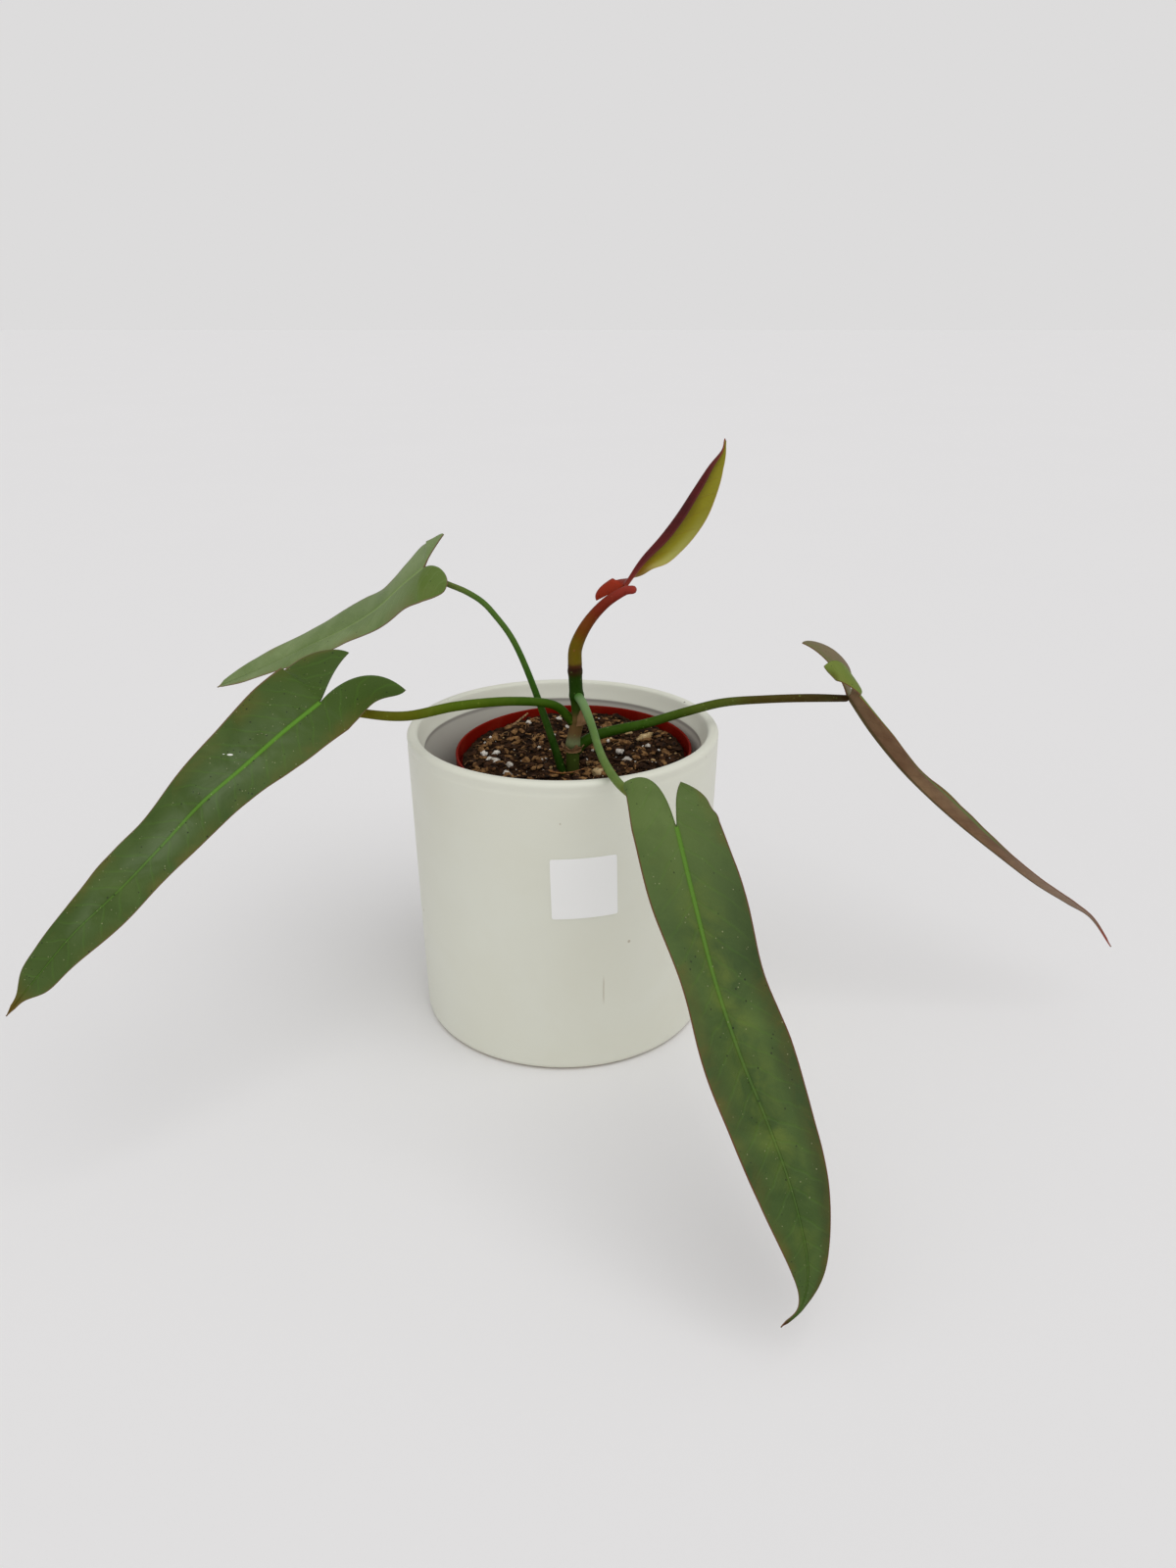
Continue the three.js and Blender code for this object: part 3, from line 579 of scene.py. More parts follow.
@dataclass(frozen=True)
class MouldedPlastic(Finish):
    """Thin moulded plastic with scuffs and stains of soil."""

    scuff: Colour = tone(150, 62, 44)
    soil: Colour = tone(60, 30, 18)
    soil_line: Span = (130.0, 137.0)

    def paint(self, board: Board, shader: Node) -> None:
        """Scuffs, soil stains low on the rim's inside and fine moulding grain.

        Args:
            board: The material's board.
            shader: The Principled shader.
        """
        spot = board.place()
        worn = effects.mottle(board, spot, 55.0, 0.5, 0.75)
        colour = board.mix(board.times(worn, 0.25), self.colour, self.scuff)
        crumbs = effects.flecks(board, spot, 330.0, 0.16, 0.45)
        low = board.reach(board.parts(spot)[2], self.soil_line, 1.0, 0.0)
        stain = board.times(crumbs, board.times(low, 0.8))
        board.feed(shader.inputs["Base Color"], board.mix(stain, colour, self.soil))
        rough = board.math("ADD", board.times(worn, 0.18), self.roughness)
        board.feed(shader.inputs["Roughness"], rough)
        self.relief(board, shader, board.grain(spot, 600.0, 2.0), 0.05)


@dataclass(frozen=True)
class Crumbly(Finish):
    """Bark, peat or perlite, broken up in colour and surface."""

    light: Colour = tone(120, 90, 60)
    scale: float = 300.0
    depth: float = 0.3

    def paint(self, board: Board, shader: Node) -> None:
        """Blotches of a lighter colour, dark pits and a rough relief.

        Args:
            board: The material's board.
            shader: The Principled shader.
        """
        spot = board.place()
        blotch = effects.mottle(board, spot, self.scale, 0.38, 0.68)
        colour = board.mix(blotch, self.colour, self.light)
        pits = board.span(board.grain(spot, self.scale * 2.6, 3.0, 0.6), 0.28, 0.5)
        colour = board.mix(pits, board.mix(0.65, colour, (0, 0, 0, 1)), colour)
        board.feed(shader.inputs["Base Color"], colour)
        self.relief(board, shader, board.grain(spot, self.scale * 1.8, 5.0, 0.65), self.depth)


@dataclass(frozen=True)
class Stalk(Finish):
    """Waxy stalk whose colour changes along its length.

    Attributes:
        stops: (share of the length, colour) from base to end.
    """

    stops: tuple[tuple[float, Colour], ...] = ()
    bloom_and_sheen: Colour = tone(134, 156, 84)
    bloom_and_sheen_share: float = 0.2

    def paint(self, board: Board, shader: Node) -> None:
        """Colour along the stalk, a greyish waxy coating that on the front petiole is partly a painted
        sheen, small pale flecks and fine lengthwise lines.

        Args:
            board: The material's board.
            shader: The Principled shader.
        """
        spot = board.place()
        share, length, turn = board.read("stalk")
        wander = board.times(board.math("SUBTRACT", board.grain(spot, 60.0), 0.5), 0.08)
        colour = board.ramp(board.math("ADD", share, wander), self.stops)
        # Greyish blotches: a waxy coating, which on the front petiole is partly a painted sheen.
        cloud = effects.mottle(board, spot, 90.0, 0.4, 0.8)
        colour = board.mix(board.times(cloud, self.bloom_and_sheen_share), colour, self.bloom_and_sheen)
        flecks = effects.flecks(board, spot, 700.0, 0.10, 0.4)
        colour = board.mix(board.times(flecks, 0.25), colour, self.bloom_and_sheen)
        board.feed(shader.inputs["Base Color"], colour)
        lines = board.add("CombineXYZ", {0: board.times(turn, 9.0), 1: board.times(length, 0.12)})
        self.relief(board, shader, board.grain(lines.outputs[0], 3.0, 3.0), 0.12)


@dataclass(frozen=True)
class DryLeaf(Finish):
    """Dry papery sheath or fibre with lengthwise streaks.

    Attributes:
        stretch: Scale of the streaks on each axis.
    """

    dark: Colour = tone(70, 42, 22)
    stretch: Point = (900.0, 900.0, 180.0)

    def paint(self, board: Board, shader: Node) -> None:
        """Streaks, darker torn spots and a wrinkled relief.

        Args:
            board: The material's board.
            shader: The Principled shader.
        """
        spot = board.place()
        stretched = board.add("Mapping", {"Vector": spot, "Scale": self.stretch}).outputs[0]
        streaks = board.grain(stretched, 1.0, 5.0, 0.7, 0.5)
        colour = board.mix(board.span(streaks, 0.35, 0.62), self.dark, self.colour)
        torn = effects.mottle(board, spot, 240.0, 0.5, 0.7)
        board.feed(shader.inputs["Base Color"], board.mix(board.times(torn, 0.5), colour, self.dark))
        self.relief(board, shader, streaks, 0.35)


@dataclass(frozen=True)
class BladeTop(Finish):
    """Upper side of a blade.

    Attributes:
        rib_reach: Where the midrib starts to fade and stops fading, and the share of it left.
        tip_from: Where the tip's colour starts, as a share of the length.
        patch_and_sheen: Colour of the patches near the midrib, yellowish on most leaves and a greyish
            painted sheen on the left front leaf.
        vein_share: How strongly the side veins show.
        left_lobe_tint_and_sheen: Colour of the left lobe where it differs; on the front leaf a painted
            sheen.
        right_lobe_tint_and_sheen: Colour of the right lobe where it differs; on the front leaf a painted
            sheen.
        painted_hollow_shade: Painted shade along the midrib, on a leaf that has it.
        lip: Painted highlight on the lit outer part near the base, on a leaf that has it.
        blush: Brownish colour of the blotches near the margin.
        tears: Small white tears: place across, place along and half length, in millimetres.
        shaded: Half that is darker toward its margin: -1 left, 1 right, 0 neither.
        specks: Share of the cells that hold a dark speck.
        dust: Share of the cells that hold a pale dot.
        dusk: Colour that darkens the shaded half.
    """

    fresh: Colour = tone(84, 104, 58)
    rib: Colour = tone(100, 130, 58)
    rib_reach: tuple[float, float, float] = (0.15, 0.7, 0.28)
    margin: Colour = tone(104, 70, 48)
    tip: Colour = tone(96, 40, 34)
    tip_from: float = 0.93
    patch_and_sheen: Colour = tone(112, 126, 56)
    patch_and_sheen_share: float = 0.3
    vein_share: float = 0.12
    shaded: int = 0
    left_lobe_tint_and_sheen: Colour | None = None
    right_lobe_tint_and_sheen: Colour | None = None
    painted_hollow_shade: Colour | None = None
    lip: Colour | None = None
    blush: Colour = tone(112, 88, 30)
    blush_share: float = 0.35
    tears: tuple[Point, ...] = ()
    specks: float = 0.02
    speck: Colour = tone(26, 26, 14)
    dust: float = 0.03
    mote: Colour = tone(170, 168, 130)
    torn: Colour = tone(232, 232, 226)
    dusk: Colour = (0.01, 0.01, 0.008, 1.0)

    def ground(self, board: Board, leaf: Sequence[Fed], spot: Fed, colour: Fed) -> Socket:
        """Adds the patches and zones of other colours.

        Args:
            board: The material's board.
            leaf: Share of the width, place along the leaf and width in millimetres.
            spot: Object coordinates.
            colour: Colour so far.

        Returns:
            The colour of the leaf between its veins.
        """
        share, tip, _ = leaf
        inside = board.math("ABSOLUTE", share)
        # Middle of the blade: real yellowish patches, and on the left front leaf a painted greyish sheen.
        middle = board.times(board.span(inside, 0.1, 0.75, 1.0, 0.0), board.span(tip, 0.85, 0.6))
        blotch = effects.mottle(board, spot, 55.0, 0.42, 0.62)
        colour = board.mix(board.times(board.times(middle, blotch), self.patch_and_sheen_share), colour, self.patch_and_sheen)
        # Painted shade along the midrib of the open half.
        if self.painted_hollow_shade:
            colour = board.mix(board.span(inside, 0.1, 0.6, 0.85, 0.0), colour, self.painted_hollow_shade)
        # Painted highlight on the lit outer strip near the base.
        if self.lip:
            outer = board.times(board.span(inside, 0.5, 0.85), board.span(tip, 0.15, 0.6, 0.9, 0.0))
            colour = board.mix(outer, colour, self.lip)
        if self.shaded:
            side = board.times(share, float(self.shaded))
            dusk = board.times(board.span(side, 0.45, 0.9), 0.55)
            colour = board.mix(dusk, colour, board.mix(0.5, self.colour, self.dusk))
        # Lobe colours: the lobes' own tints, and on the front leaf a painted sheen.
        for side, lobe in ((-1.0, self.left_lobe_tint_and_sheen), (1.0, self.right_lobe_tint_and_sheen)):
            if lobe:
                there = board.times(board.span(board.times(share, side), -0.02, 0.06), 0.9)
                there = board.times(there, board.span(tip, -0.1, 0.28, 1.0, 0.0))
                colour = board.mix(there, colour, board.mix(board.times(blotch, 0.3), lobe, self.colour))
        zone = effects.mottle(board, spot, 34.0, 0.45, 0.62)
        zone = board.times(zone, board.span(inside, 0.5, 0.98, 0.0, self.blush_share))
        return board.mix(zone, colour, self.blush)

    def tear(self, board: Board, flat: Sequence[Fed], colour: Fed) -> Socket:
        """Adds the small white tears.

        Args:
            board: The material's board.
            flat: Millimetres from the midrib and along it.
            colour: Colour so far.

        Returns:
            The colour with the tears.
        """
        for place, reach, half in self.tears:
            x = board.math("SUBTRACT", flat[0], place)
            y = board.math("SUBTRACT", flat[1], reach)
            long = board.math("POWER", board.math("DIVIDE", board.math("ADD", x, y), half * 1.4), 2.0)
            thin = board.math("POWER", board.math("DIVIDE", board.math("SUBTRACT", x, y), half * 0.5), 2.0)
            mask = board.span(board.math("ADD", long, thin), 0.5, 1.2, 1.0, 0.0)
            colour = board.mix(mask, colour, self.torn)
        return colour

    def paint(self, board: Board, shader: Node) -> None:
        """Ground colours, veins, specks, margin and tip, with a quilted relief.

        Args:
            board: The material's board.
            shader: The Principled shader.
        """
        leaf, flat, spot = board.read("leaf"), board.read("flat"), board.place()
        tip = leaf[1]
        veins = effects.veins(board, flat, leaf)
        cloud = effects.mottle(board, spot, 38.0, 0.32, 0.72)
        colour = self.ground(board, leaf, spot, board.mix(cloud, self.colour, self.fresh))
        colour = board.mix(board.times(veins["Veins"], self.vein_share), colour, self.rib)
        start, end, rest = self.rib_reach
        rib = board.times(veins["Rib"], board.span(tip, start, end, 0.95, rest))
        colour = board.mix(rib, colour, self.rib)
        grains = board.add("CombineXYZ", {0: flat[0], 1: flat[1]}).outputs[0]
        for scale, share, size, strength, fleck in (
            (0.9, self.specks, 0.34, 0.75, self.speck),
            (1.3, self.dust, 0.30, 0.5, self.mote),
        ):
            mask = effects.flecks(board, grains, scale, share, size)
            colour = board.mix(board.times(mask, strength), colour, fleck)
        colour = board.mix(board.times(veins["Margin"], 0.85), colour, self.margin)
        colour = board.mix(board.span(tip, self.tip_from, 1.0), colour, self.tip)
        board.feed(shader.inputs["Base Color"], self.tear(board, flat, colour))
        matt = board.times(cloud, 0.12)
        board.feed(shader.inputs["Roughness"], board.math("ADD", matt, self.roughness, True))
        fine = board.times(board.grain(grains, 2.2, 3.0), 0.22)
        self.relief(board, shader, board.math("ADD", veins["Height"], fine), 0.35)


@dataclass(frozen=True)
class BladeUnderside(Finish):
    """Underside of a blade.

    Attributes:
        pale_from: Where the paler stretch starts, as a share of the length.
        strip: Colour of the strip along one margin.
        strip_side: Half that has the strip: -1 left, 1 right, 0 neither.
        strip_width: Width of the strip in millimetres.
        strip_end: Where the strip ends, as a share of the length.
    """

    roughness: float = 0.5
    gloss: float = 0.15
    light: Colour = tone(120, 92, 74)
    rib: Colour = tone(90, 96, 50)
    lobe: Colour = tone(110, 84, 66)
    tip: Colour = tone(150, 52, 42)
    pale_from: float = 0.5
    pale: Colour = tone(140, 120, 106)
    strip: Colour = tone(104, 124, 62)
    strip_side: int = 0
    strip_width: float = 2.4
    strip_end: float = 0.5
    margin: Colour = tone(190, 150, 140)
    margin_share: float = 0.0

    def borders(self, board: Board, leaf: Sequence[Fed], colour: Fed) -> Socket:
        """Adds the strip of another colour along one margin and the thin margin line.

        Args:
            board: The material's board.
            leaf: Share of the width, place along the leaf and width in millimetres.
            colour: Colour so far.

        Returns:
            The colour with its borders.
        """
        share, tip, width = leaf
        inward = board.times(board.math("SUBTRACT", 1.0, board.math("ABSOLUTE", share)), width)
        if self.strip_side:
            strip = board.span(inward, self.strip_width * 0.8, self.strip_width * 1.15, 0.9, 0.0)
            side = board.times(share, float(self.strip_side))
            strip = board.times(strip, board.span(side, 0.0, 0.1))
            end = self.strip_end
            strip = board.times(strip, board.span(tip, end - 0.08, end + 0.04, 1.0, 0.0))
            colour = board.mix(strip, colour, self.strip)
        line = board.span(inward, 0.5, 1.0, self.margin_share, 0.0)
        return board.mix(line, colour, self.margin)

    def paint(self, board: Board, shader: Node) -> None:
        """Veins, blotches, and the changes of colour from the lobes to the tip.

        Args:
            board: The material's board.
            shader: The Principled shader.
        """
        leaf, flat = board.read("leaf"), board.read("flat")
        tip = leaf[1]
        veins = effects.veins(board, flat, leaf)
        cloud = effects.mottle(board, board.place(), 48.0, 0.35, 0.7)
        colour = board.mix(cloud, self.colour, self.light)
        colour = board.mix(board.span(tip, self.pale_from - 0.15, self.pale_from + 0.2), colour, self.pale)
        colour = board.mix(board.span(tip, -0.12, 0.16, 1.0, 0.0), colour, self.lobe)
        colour = board.mix(board.times(veins["Veins"], 0.1), colour, self.rib)
        colour = board.mix(board.times(veins["Rib"], 0.7), colour, self.rib)
        colour = self.borders(board, leaf, colour)
        colour = board.mix(board.span(tip, 0.9, 0.98), colour, self.tip)
        board.feed(shader.inputs["Base Color"], colour)
        grains = board.add("CombineXYZ", {0: flat[0], 1: flat[1]}).outputs[0]
        fine = board.times(board.grain(grains, 2.6, 3.0), 0.25)
        self.relief(board, shader, board.math("SUBTRACT", fine, veins["Height"]), 0.3)


@dataclass(frozen=True)
class Cloth(Finish):
    """Pale floor with a faint unevenness."""

    shade: Colour = tone(190, 190, 192)

    def paint(self, board: Board, shader: Node) -> None:
        """A faint cloud of grey."""
        cloud = board.times(board.grain(board.place(), 3.0, 3.0), 0.04)
        board.feed(shader.inputs["Base Color"], board.mix(cloud, self.colour, self.shade))


# Meshes


def show(name: str, data: bpy.types.ID) -> Object:
    """A new object in the scene.

    Args:
        name: Its name.
        data: What it shows.

    Returns:
        The new object.
    """
    made = bpy.data.objects.new(name, data)
    bpy.context.scene.collection.objects.link(made)
    return made


class Shell:
    """A bmesh on its way to becoming a piece."""

    CAP_ANGLES = (30, 60, 80, 89.9)

    def __init__(self) -> None:
        """Starts an empty mesh."""
        self.bm = bmesh.new()

    def layers(self, *names: str) -> list[bmesh.types.BMLayerItem]:
        """Vector layers of the corners, made where they are missing."""
        held = self.bm.verts.layers.float_vector
        return [held.get(name) or held.new(name) for name in names]

    def merge(self, reach: float = 2e-6) -> None:
        """Merges corners that lie within a reach in metres."""
        bmesh.ops.remove_doubles(self.bm, verts=self.bm.verts, dist=reach)

    def outward(self) -> None:
        """Turns all faces outward."""
        bmesh.ops.recalc_face_normals(self.bm, faces=self.bm.faces)

    def soften(self, limit: float) -> None:
        """Smooth shading, with edges sharper than an angle in radians kept crisp.

        Args:
            limit: The angle.
        """
        for face in self.bm.faces:
            face.smooth = True
        for edge in self.bm.edges:
            edge.smooth = edge.calc_face_angle(0.0) < limit

    def spin(self, profile: Sequence[Span], steps: int) -> None:
        """Spins a profile of (radius, height) in millimetres about Z.

        Args:
            profile: Points from the axis at the bottom, up the outside and back to the axis.
            steps: Steps of the full turn.
        """
        corners = [self.bm.verts.new((r * MM, 0, z * MM)) for r, z in profile]
        edges = [self.bm.edges.new(pair) for pair in zip(corners, corners[1:])]
        turn = {"cent": (0, 0, 0), "axis": (0, 0, 1), "angle": math.tau, "steps": steps, "use_merge": True}
        bmesh.ops.spin(self.bm, geom=corners + edges, use_duplicate=False, **turn)
        self.merge()
        self.outward()

    def tube(self, line: Line, radius: Callable[[float], float], sides: int, step: float) -> None:
        """Sweeps a circle along a line, with round ends.

        Args:
            line: The line, in millimetres.
            radius: Radius in millimetres at a share of the length.
            sides: Sides of the circle.
            step: Space between rings in millimetres.
        """
        bm = self.bm
        spoke = bm.verts.layers.int.get("spoke") or bm.verts.layers.int.new("spoke")
        (mark,) = self.layers("stalk")
        count = max(4, math.ceil(line.length / step))
        shares = [k / count for k in range(count + 1)]
        rings = [(s, line.share(s), line.heading(s), radius(s)) for s in shares]
        first, last = rings[0], rings[-1]
        for a in map(math.radians, self.CAP_ANGLES):
            for (s, centre, heading, reach), way in ((first, -1), (last, 1)):
                ring = (s, centre + way * heading * reach * math.sin(a), heading, reach * math.cos(a))
                rings.insert(0 if way < 0 else len(rings), ring)
        ring = bmesh.ops.create_circle(bm, cap_ends=False, radius=MM, segments=sides)["verts"]
        for i, vert in enumerate(ring):
            vert[spoke] = i
        side = rings[0][2].orthogonal().normalized()
        edges = list({edge for vert in ring for edge in vert.link_edges})
        for k, (s, centre, heading, reach) in enumerate(rings):
            side = (side - heading * side.dot(heading)).normalized()
            across = heading.cross(side)
            if k:
                grown = bmesh.ops.extrude_edge_only(bm, edges=edges)["geom"]
                ring = [part for part in grown if isinstance(part, bmesh.types.BMVert)]
                edges = [part for part in grown if isinstance(part, bmesh.types.BMEdge)]
                edges = [edge for edge in edges if all(vert in ring for vert in edge.verts)]
            for vert in ring:
                a = math.tau * vert[spoke] / sides
                vert.co = (centre + reach * (math.cos(a) * side + math.sin(a) * across)) * MM
                vert[mark] = (s, s * line.length, math.cos(a))
        self.merge()
        self.outward()

    def sheet(self, columns: int, rows: int, lay: Callable[[Corner, float, float], None]) -> None:
        """Adds a grid and lays each corner in its place.

        Args:
            columns: Faces across.
            rows: Faces along.
            lay: Gives a corner its place and attributes, from x and y between 0 and 1.
        """
        made = bmesh.ops.create_grid(self.bm, x_segments=columns, y_segments=rows, size=0.5)["verts"]
        for vert in made:
            lay(vert, vert.co.x + 0.5, vert.co.y + 0.5)

    def thicken(self) -> None:
        """Makes a closed body of a sheet whose corners keep a normal, a rise and a drop.

        Upper faces get material 0, lower ones 1 and the edge 2.
        """
        bm = self.bm
        normal, depth = self.layers("normal", "depth")
        lower = list(bm.faces)
        grown = bmesh.ops.extrude_face_region(bm, geom=lower)["geom"]
        upper = {part for part in grown if isinstance(part, bmesh.types.BMFace)}
        raised = {part for part in grown if isinstance(part, bmesh.types.BMVert)}
        for vert in bm.verts:
            rise, drop, _ = vert[depth]
            vert.co += vert[normal] * (rise if vert in raised else -drop) * MM
        under = set(lower)
        for face in bm.faces:
            face.material_index = 0 if face in upper else 1 if face in under else 2
        for name in ("normal", "depth"):
            bm.verts.layers.float_vector.remove(*self.layers(name))

    def piece(
        self, name: str, finishes: Sequence[Finish], nodes: Sequence[str], sharp: float | None = None
    ) -> Object:
        """Makes the piece, dresses it and ties it to the frame.

        Args:
            name: Name of the piece.
            finishes: Its finishes, by material number.
            nodes: CAD nodes that it stands for.
            sharp: Angle in degrees past which an edge of its smooth shading stays crisp.

        Returns:
            The new object.
        """
        if sharp:
            self.soften(math.radians(sharp))
        mesh = bpy.data.meshes.new(name)
        self.bm.to_mesh(mesh)
        triangles = sum(len(face.verts) - 2 for face in self.bm.faces)
        self.bm.free()
        for finish in finishes:
            mesh.materials.append(finish.material())
        made = show(name, mesh)
        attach(made, "root")
        if nodes:
            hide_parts(*nodes)
        log.info("%s: %d triangles", name, triangles)
        return made


# Pots and label


def corner(r: float, z: float, radius: float, start: float, end: float, steps: int) -> list[Span]:
    """Points of a round corner.

    Args:
        r: Radius of the corner's centre.
        z: Height of the corner's centre.
        radius: The corner's own radius.
        start: First angle in degrees.
        end: Last angle in degrees.
        steps: Number of steps.

    Returns:
        (radius, height) points.
    """
    angles = [math.radians(start + (end - start) * i / steps) for i in range(steps + 1)]
    return [(r + radius * math.cos(a), z + radius * math.sin(a)) for a in angles]


@dataclass
class CoverPot:
    """Round glazed cover pot with a rounded lip and a ledge inside.

    Attributes:
        groove_reach: Distance over which the faint groove under the lip fades.
        lip_end: Angle at which the inner round of the lip ends, in degrees.
        slope: Inner slope from lip to ledge, as shares of its width and heights above the ledge.
        ledge_edge: Radius and height by which the ledge's edge is rounded.
        wall_draft: Radius and height between the ledge and the lower inside.
    """

    height: float = 149.5
    foot_radius: float = 71.6
    top_radius: float = 75.0
    foot_round: float = 4.0
    lip_round: float = 2.2
    groove_depth: float = 0.15
    groove_below_rim: float = 5.0
    mouth_radius: float = 69.6
    ledge_radius: float = 66.9
    ledge_below_rim: float = 8.0
    floor: float = 6.0
    floor_radius: float = 62.0
    floor_round: float = 8.0
    groove_reach: float = 2.0
    lip_end: float = 155.0
    slope: tuple[Span, ...] = ((0.86, 4.9), (0.6, 3.2), (0.34, 1.5), (0.14, 0.4), (0.04, -0.1), (0.0, -0.6))
    ledge_edge: Span = (0.1, 0.8)
    wall_draft: Span = (1.2, 35.0)
    bends: Numbers = (12, 30, 60, 90, 120)
    steps: int = 180
    glaze: Glaze = Glaze("satin_glaze", tone(224, 225, 212), 0.36, 0.4)

    def wall(self, z: float) -> float:
        """Outer radius at a height."""
        return self.foot_radius + (self.top_radius - self.foot_radius) * z / self.height

    def build(self) -> Object:
        """Spins the pot.

        Returns:
            The dressed piece.
        """
        groove, reach = self.height - self.groove_below_rim, self.groove_reach
        lip = self.height - self.lip_round
        ledge = self.height - self.ledge_below_rim
        profile = [(0, 0), (30, 0), (60, 0)]
        profile += corner(self.wall(0) - self.foot_round, self.foot_round, self.foot_round, -90, 0, 10)
        profile += [(self.wall(z), z) for z in (*self.bends, groove - 2 * reach)]
        for k in range(9):
            away = reach * (k / 4 - 1)
            depth = self.groove_depth * math.cos(math.pi * away / 2 / reach) ** 2
            profile.append((self.wall(groove) - depth, groove + away))
        profile += corner(self.top_radius - self.lip_round, lip, self.lip_round, 0, 90, 8)
        profile += corner(self.mouth_radius + self.lip_round, lip, self.lip_round, 90, self.lip_end, 7)
        width = self.mouth_radius - self.ledge_radius
        profile += [(self.ledge_radius + share * width, ledge + above) for share, above in self.slope]
        for inward, down in (self.ledge_edge, self.wall_draft):
            profile.append((self.ledge_radius - inward, ledge - down))
        inner = self.floor_radius - self.floor_round
        profile += corner(inner, self.floor + self.floor_round, self.floor_round, 0, -90, 8)
        profile += [(20, self.floor), (0, self.floor)]
        shell = Shell()
        shell.spin(profile, self.steps)
        return shell.piece("glazed_cover_pot", [self.glaze], ["cover_pot"], 60)


@dataclass
class Label:
    """Blank square paper label on the cover pot.

    Attributes:
        lift: Distance of its back from the wall.
    """

    side: float = 30.0
    height: float = 98.6
    azimuth: float = 8.2
    turn: float = 1.5
    thickness: float = 0.3
    lift: float = 0.1
    corner_round: float = 1.1
    columns: int = 16
    paper: Paper = Paper("label_paper", tone(238, 238, 236), 0.6, 0.35)

    def build(self, pot: CoverPot) -> Object:
        """Lays the label round the pot's wall.

        Args:
            pot: The pot that carries it.

        Returns:
            The dressed piece.
        """
        shell = Shell()
        bm = shell.bm
        normal, depth = shell.layers("normal", "depth")
        grid = bmesh.ops.create_grid(bm, x_segments=1, y_segments=1, size=self.side / 2)
        corners = [vert for vert in grid["verts"] if len(vert.link_edges) == 2]
        round_off = {"offset": self.corner_round, "segments": 5, "profile": 0.5, "material": -1}
        bmesh.ops.bevel(bm, geom=corners, affect="VERTICES", **round_off)
        for k in range(1, self.columns):
            place = (self.side * (k / self.columns - 0.5), 0, 0)
            parts = list(bm.verts) + list(bm.edges) + list(bm.faces)
            bmesh.ops.bisect_plane(bm, geom=parts, plane_co=place, plane_no=(1, 0, 0), dist=1e-4)
        turn = math.radians(self.turn)
        slope = math.atan2(pot.top_radius - pot.foot_radius, pot.height)
        for vert in bm.verts:
            across, upward = vert.co.x, vert.co.y
            z = self.height + upward * math.cos(turn) + across * math.sin(turn)
            wall = pot.wall(z)
            slide = (across * math.cos(turn) - upward * math.sin(turn)) / wall
            a = math.radians(self.azimuth) + slide
            out = Vector((math.sin(a), -math.cos(a), 0))
            vert.co = (out * (wall + self.lift) + Vector((0, 0, z))) * MM
            vert[normal] = (out - Vector((0, 0, math.tan(slope)))).normalized()
            vert[depth] = (self.thickness, 0.0, 0.0)
        shell.thicken()
        shell.outward()
        return shell.piece("blank_label", [self.paper] * 3, ["pot_label"], 30)


@dataclass
class NurseryPot:
    """Thin brick-red nursery pot that leans a little inside the cover pot.

    Attributes:
        rim_band: Height of the band below the rim.
        rim_step: How far the band stands out.
        rim_edge: Radius of the rim's round edge.
    """

    rim_centre: Point = (5.0, 6.0, 136.0)
    lean: Point = (-0.016, -0.035, 1.0)
    height: float = 128.0
    rim_radius: float = 58.0
    rim_band: float = 9.0
    rim_step: float = 0.7
    rim_edge: float = 0.6
    bends: Numbers = (20, 45, 70, 95)
    foot_radius: float = 44.0
    wall: float = 1.2
    floor: float = 1.6
    steps: int = 150
    plastic: MouldedPlastic = MouldedPlastic("brick_red_plastic", tone(120, 18, 5), 0.5, 0.05)

    def matrix(self) -> Matrix:
        """Where the pot's own frame stands, in millimetres.

        Returns:
            The matrix.
        """
        axis = Vector(self.lean).normalized()
        foot = Vector(self.rim_centre) - axis * self.height
        turn = Vector((0, 0, 1)).rotation_difference(axis)
        return Matrix.Translation(foot) @ turn.to_matrix().to_4x4()

    def placed(self, shell: Shell) -> None:
        """Moves a mesh from the pot's own frame to its place.

        Args:
            shell: The mesh.
        """
        matrix = self.matrix()
        matrix.translation *= MM
        bmesh.ops.transform(shell.bm, matrix=matrix, verts=shell.bm.verts)

    def outer(self, z: float) -> float:
        """Outer radius of the tapered wall at a height in the pot's own frame."""
        under = self.rim_radius - self.rim_step
        return self.foot_radius + (under - self.foot_radius) * z / self.height

    def build(self) -> Object:
        """Spins the pot and leans it.

        Returns:
            The dressed piece.
        """
        band = self.height - self.rim_band
        inner = self.rim_radius - self.wall
        edge = self.height - self.rim_edge
        profile = [(0, 0), (20, 0)]
        profile += corner(self.outer(0) - self.wall, self.wall, self.wall, -90, 0, 4)
        profile += [(self.outer(z), z) for z in (*self.bends, band - 0.6)]
        profile += [(self.outer(band) + 0.15, band), (self.rim_radius - 0.4, band + 0.3)]
        profile += [(self.rim_radius - 0.15, band + 1.2), (self.rim_radius, edge)]
        profile += corner(self.rim_radius - self.rim_edge, edge, self.rim_edge, 0, 180, 8)
        profile += [(inner - 0.1, self.height - 3), (inner - 0.25, band + 0.8)]
        profile += [(self.outer(band) - self.wall, band), (self.outer(60) - self.wall, 60)]
        profile += [(self.outer(0) - self.wall, self.floor), (20, self.floor), (0, self.floor)]
        shell = Shell()
        shell.spin(profile, self.steps)
        self.placed(shell)
        return shell.piece("red_nursery_pot", [self.plastic], ["nursery_pot"], 50)


# Potting mix


class Grain(Enum):
    """Kinds of crumb in the mix, with their material number."""

    DARK_BARK = 0
    BROWN_BARK = 1
    PERLITE = 2
    TAN_CHIP = 3


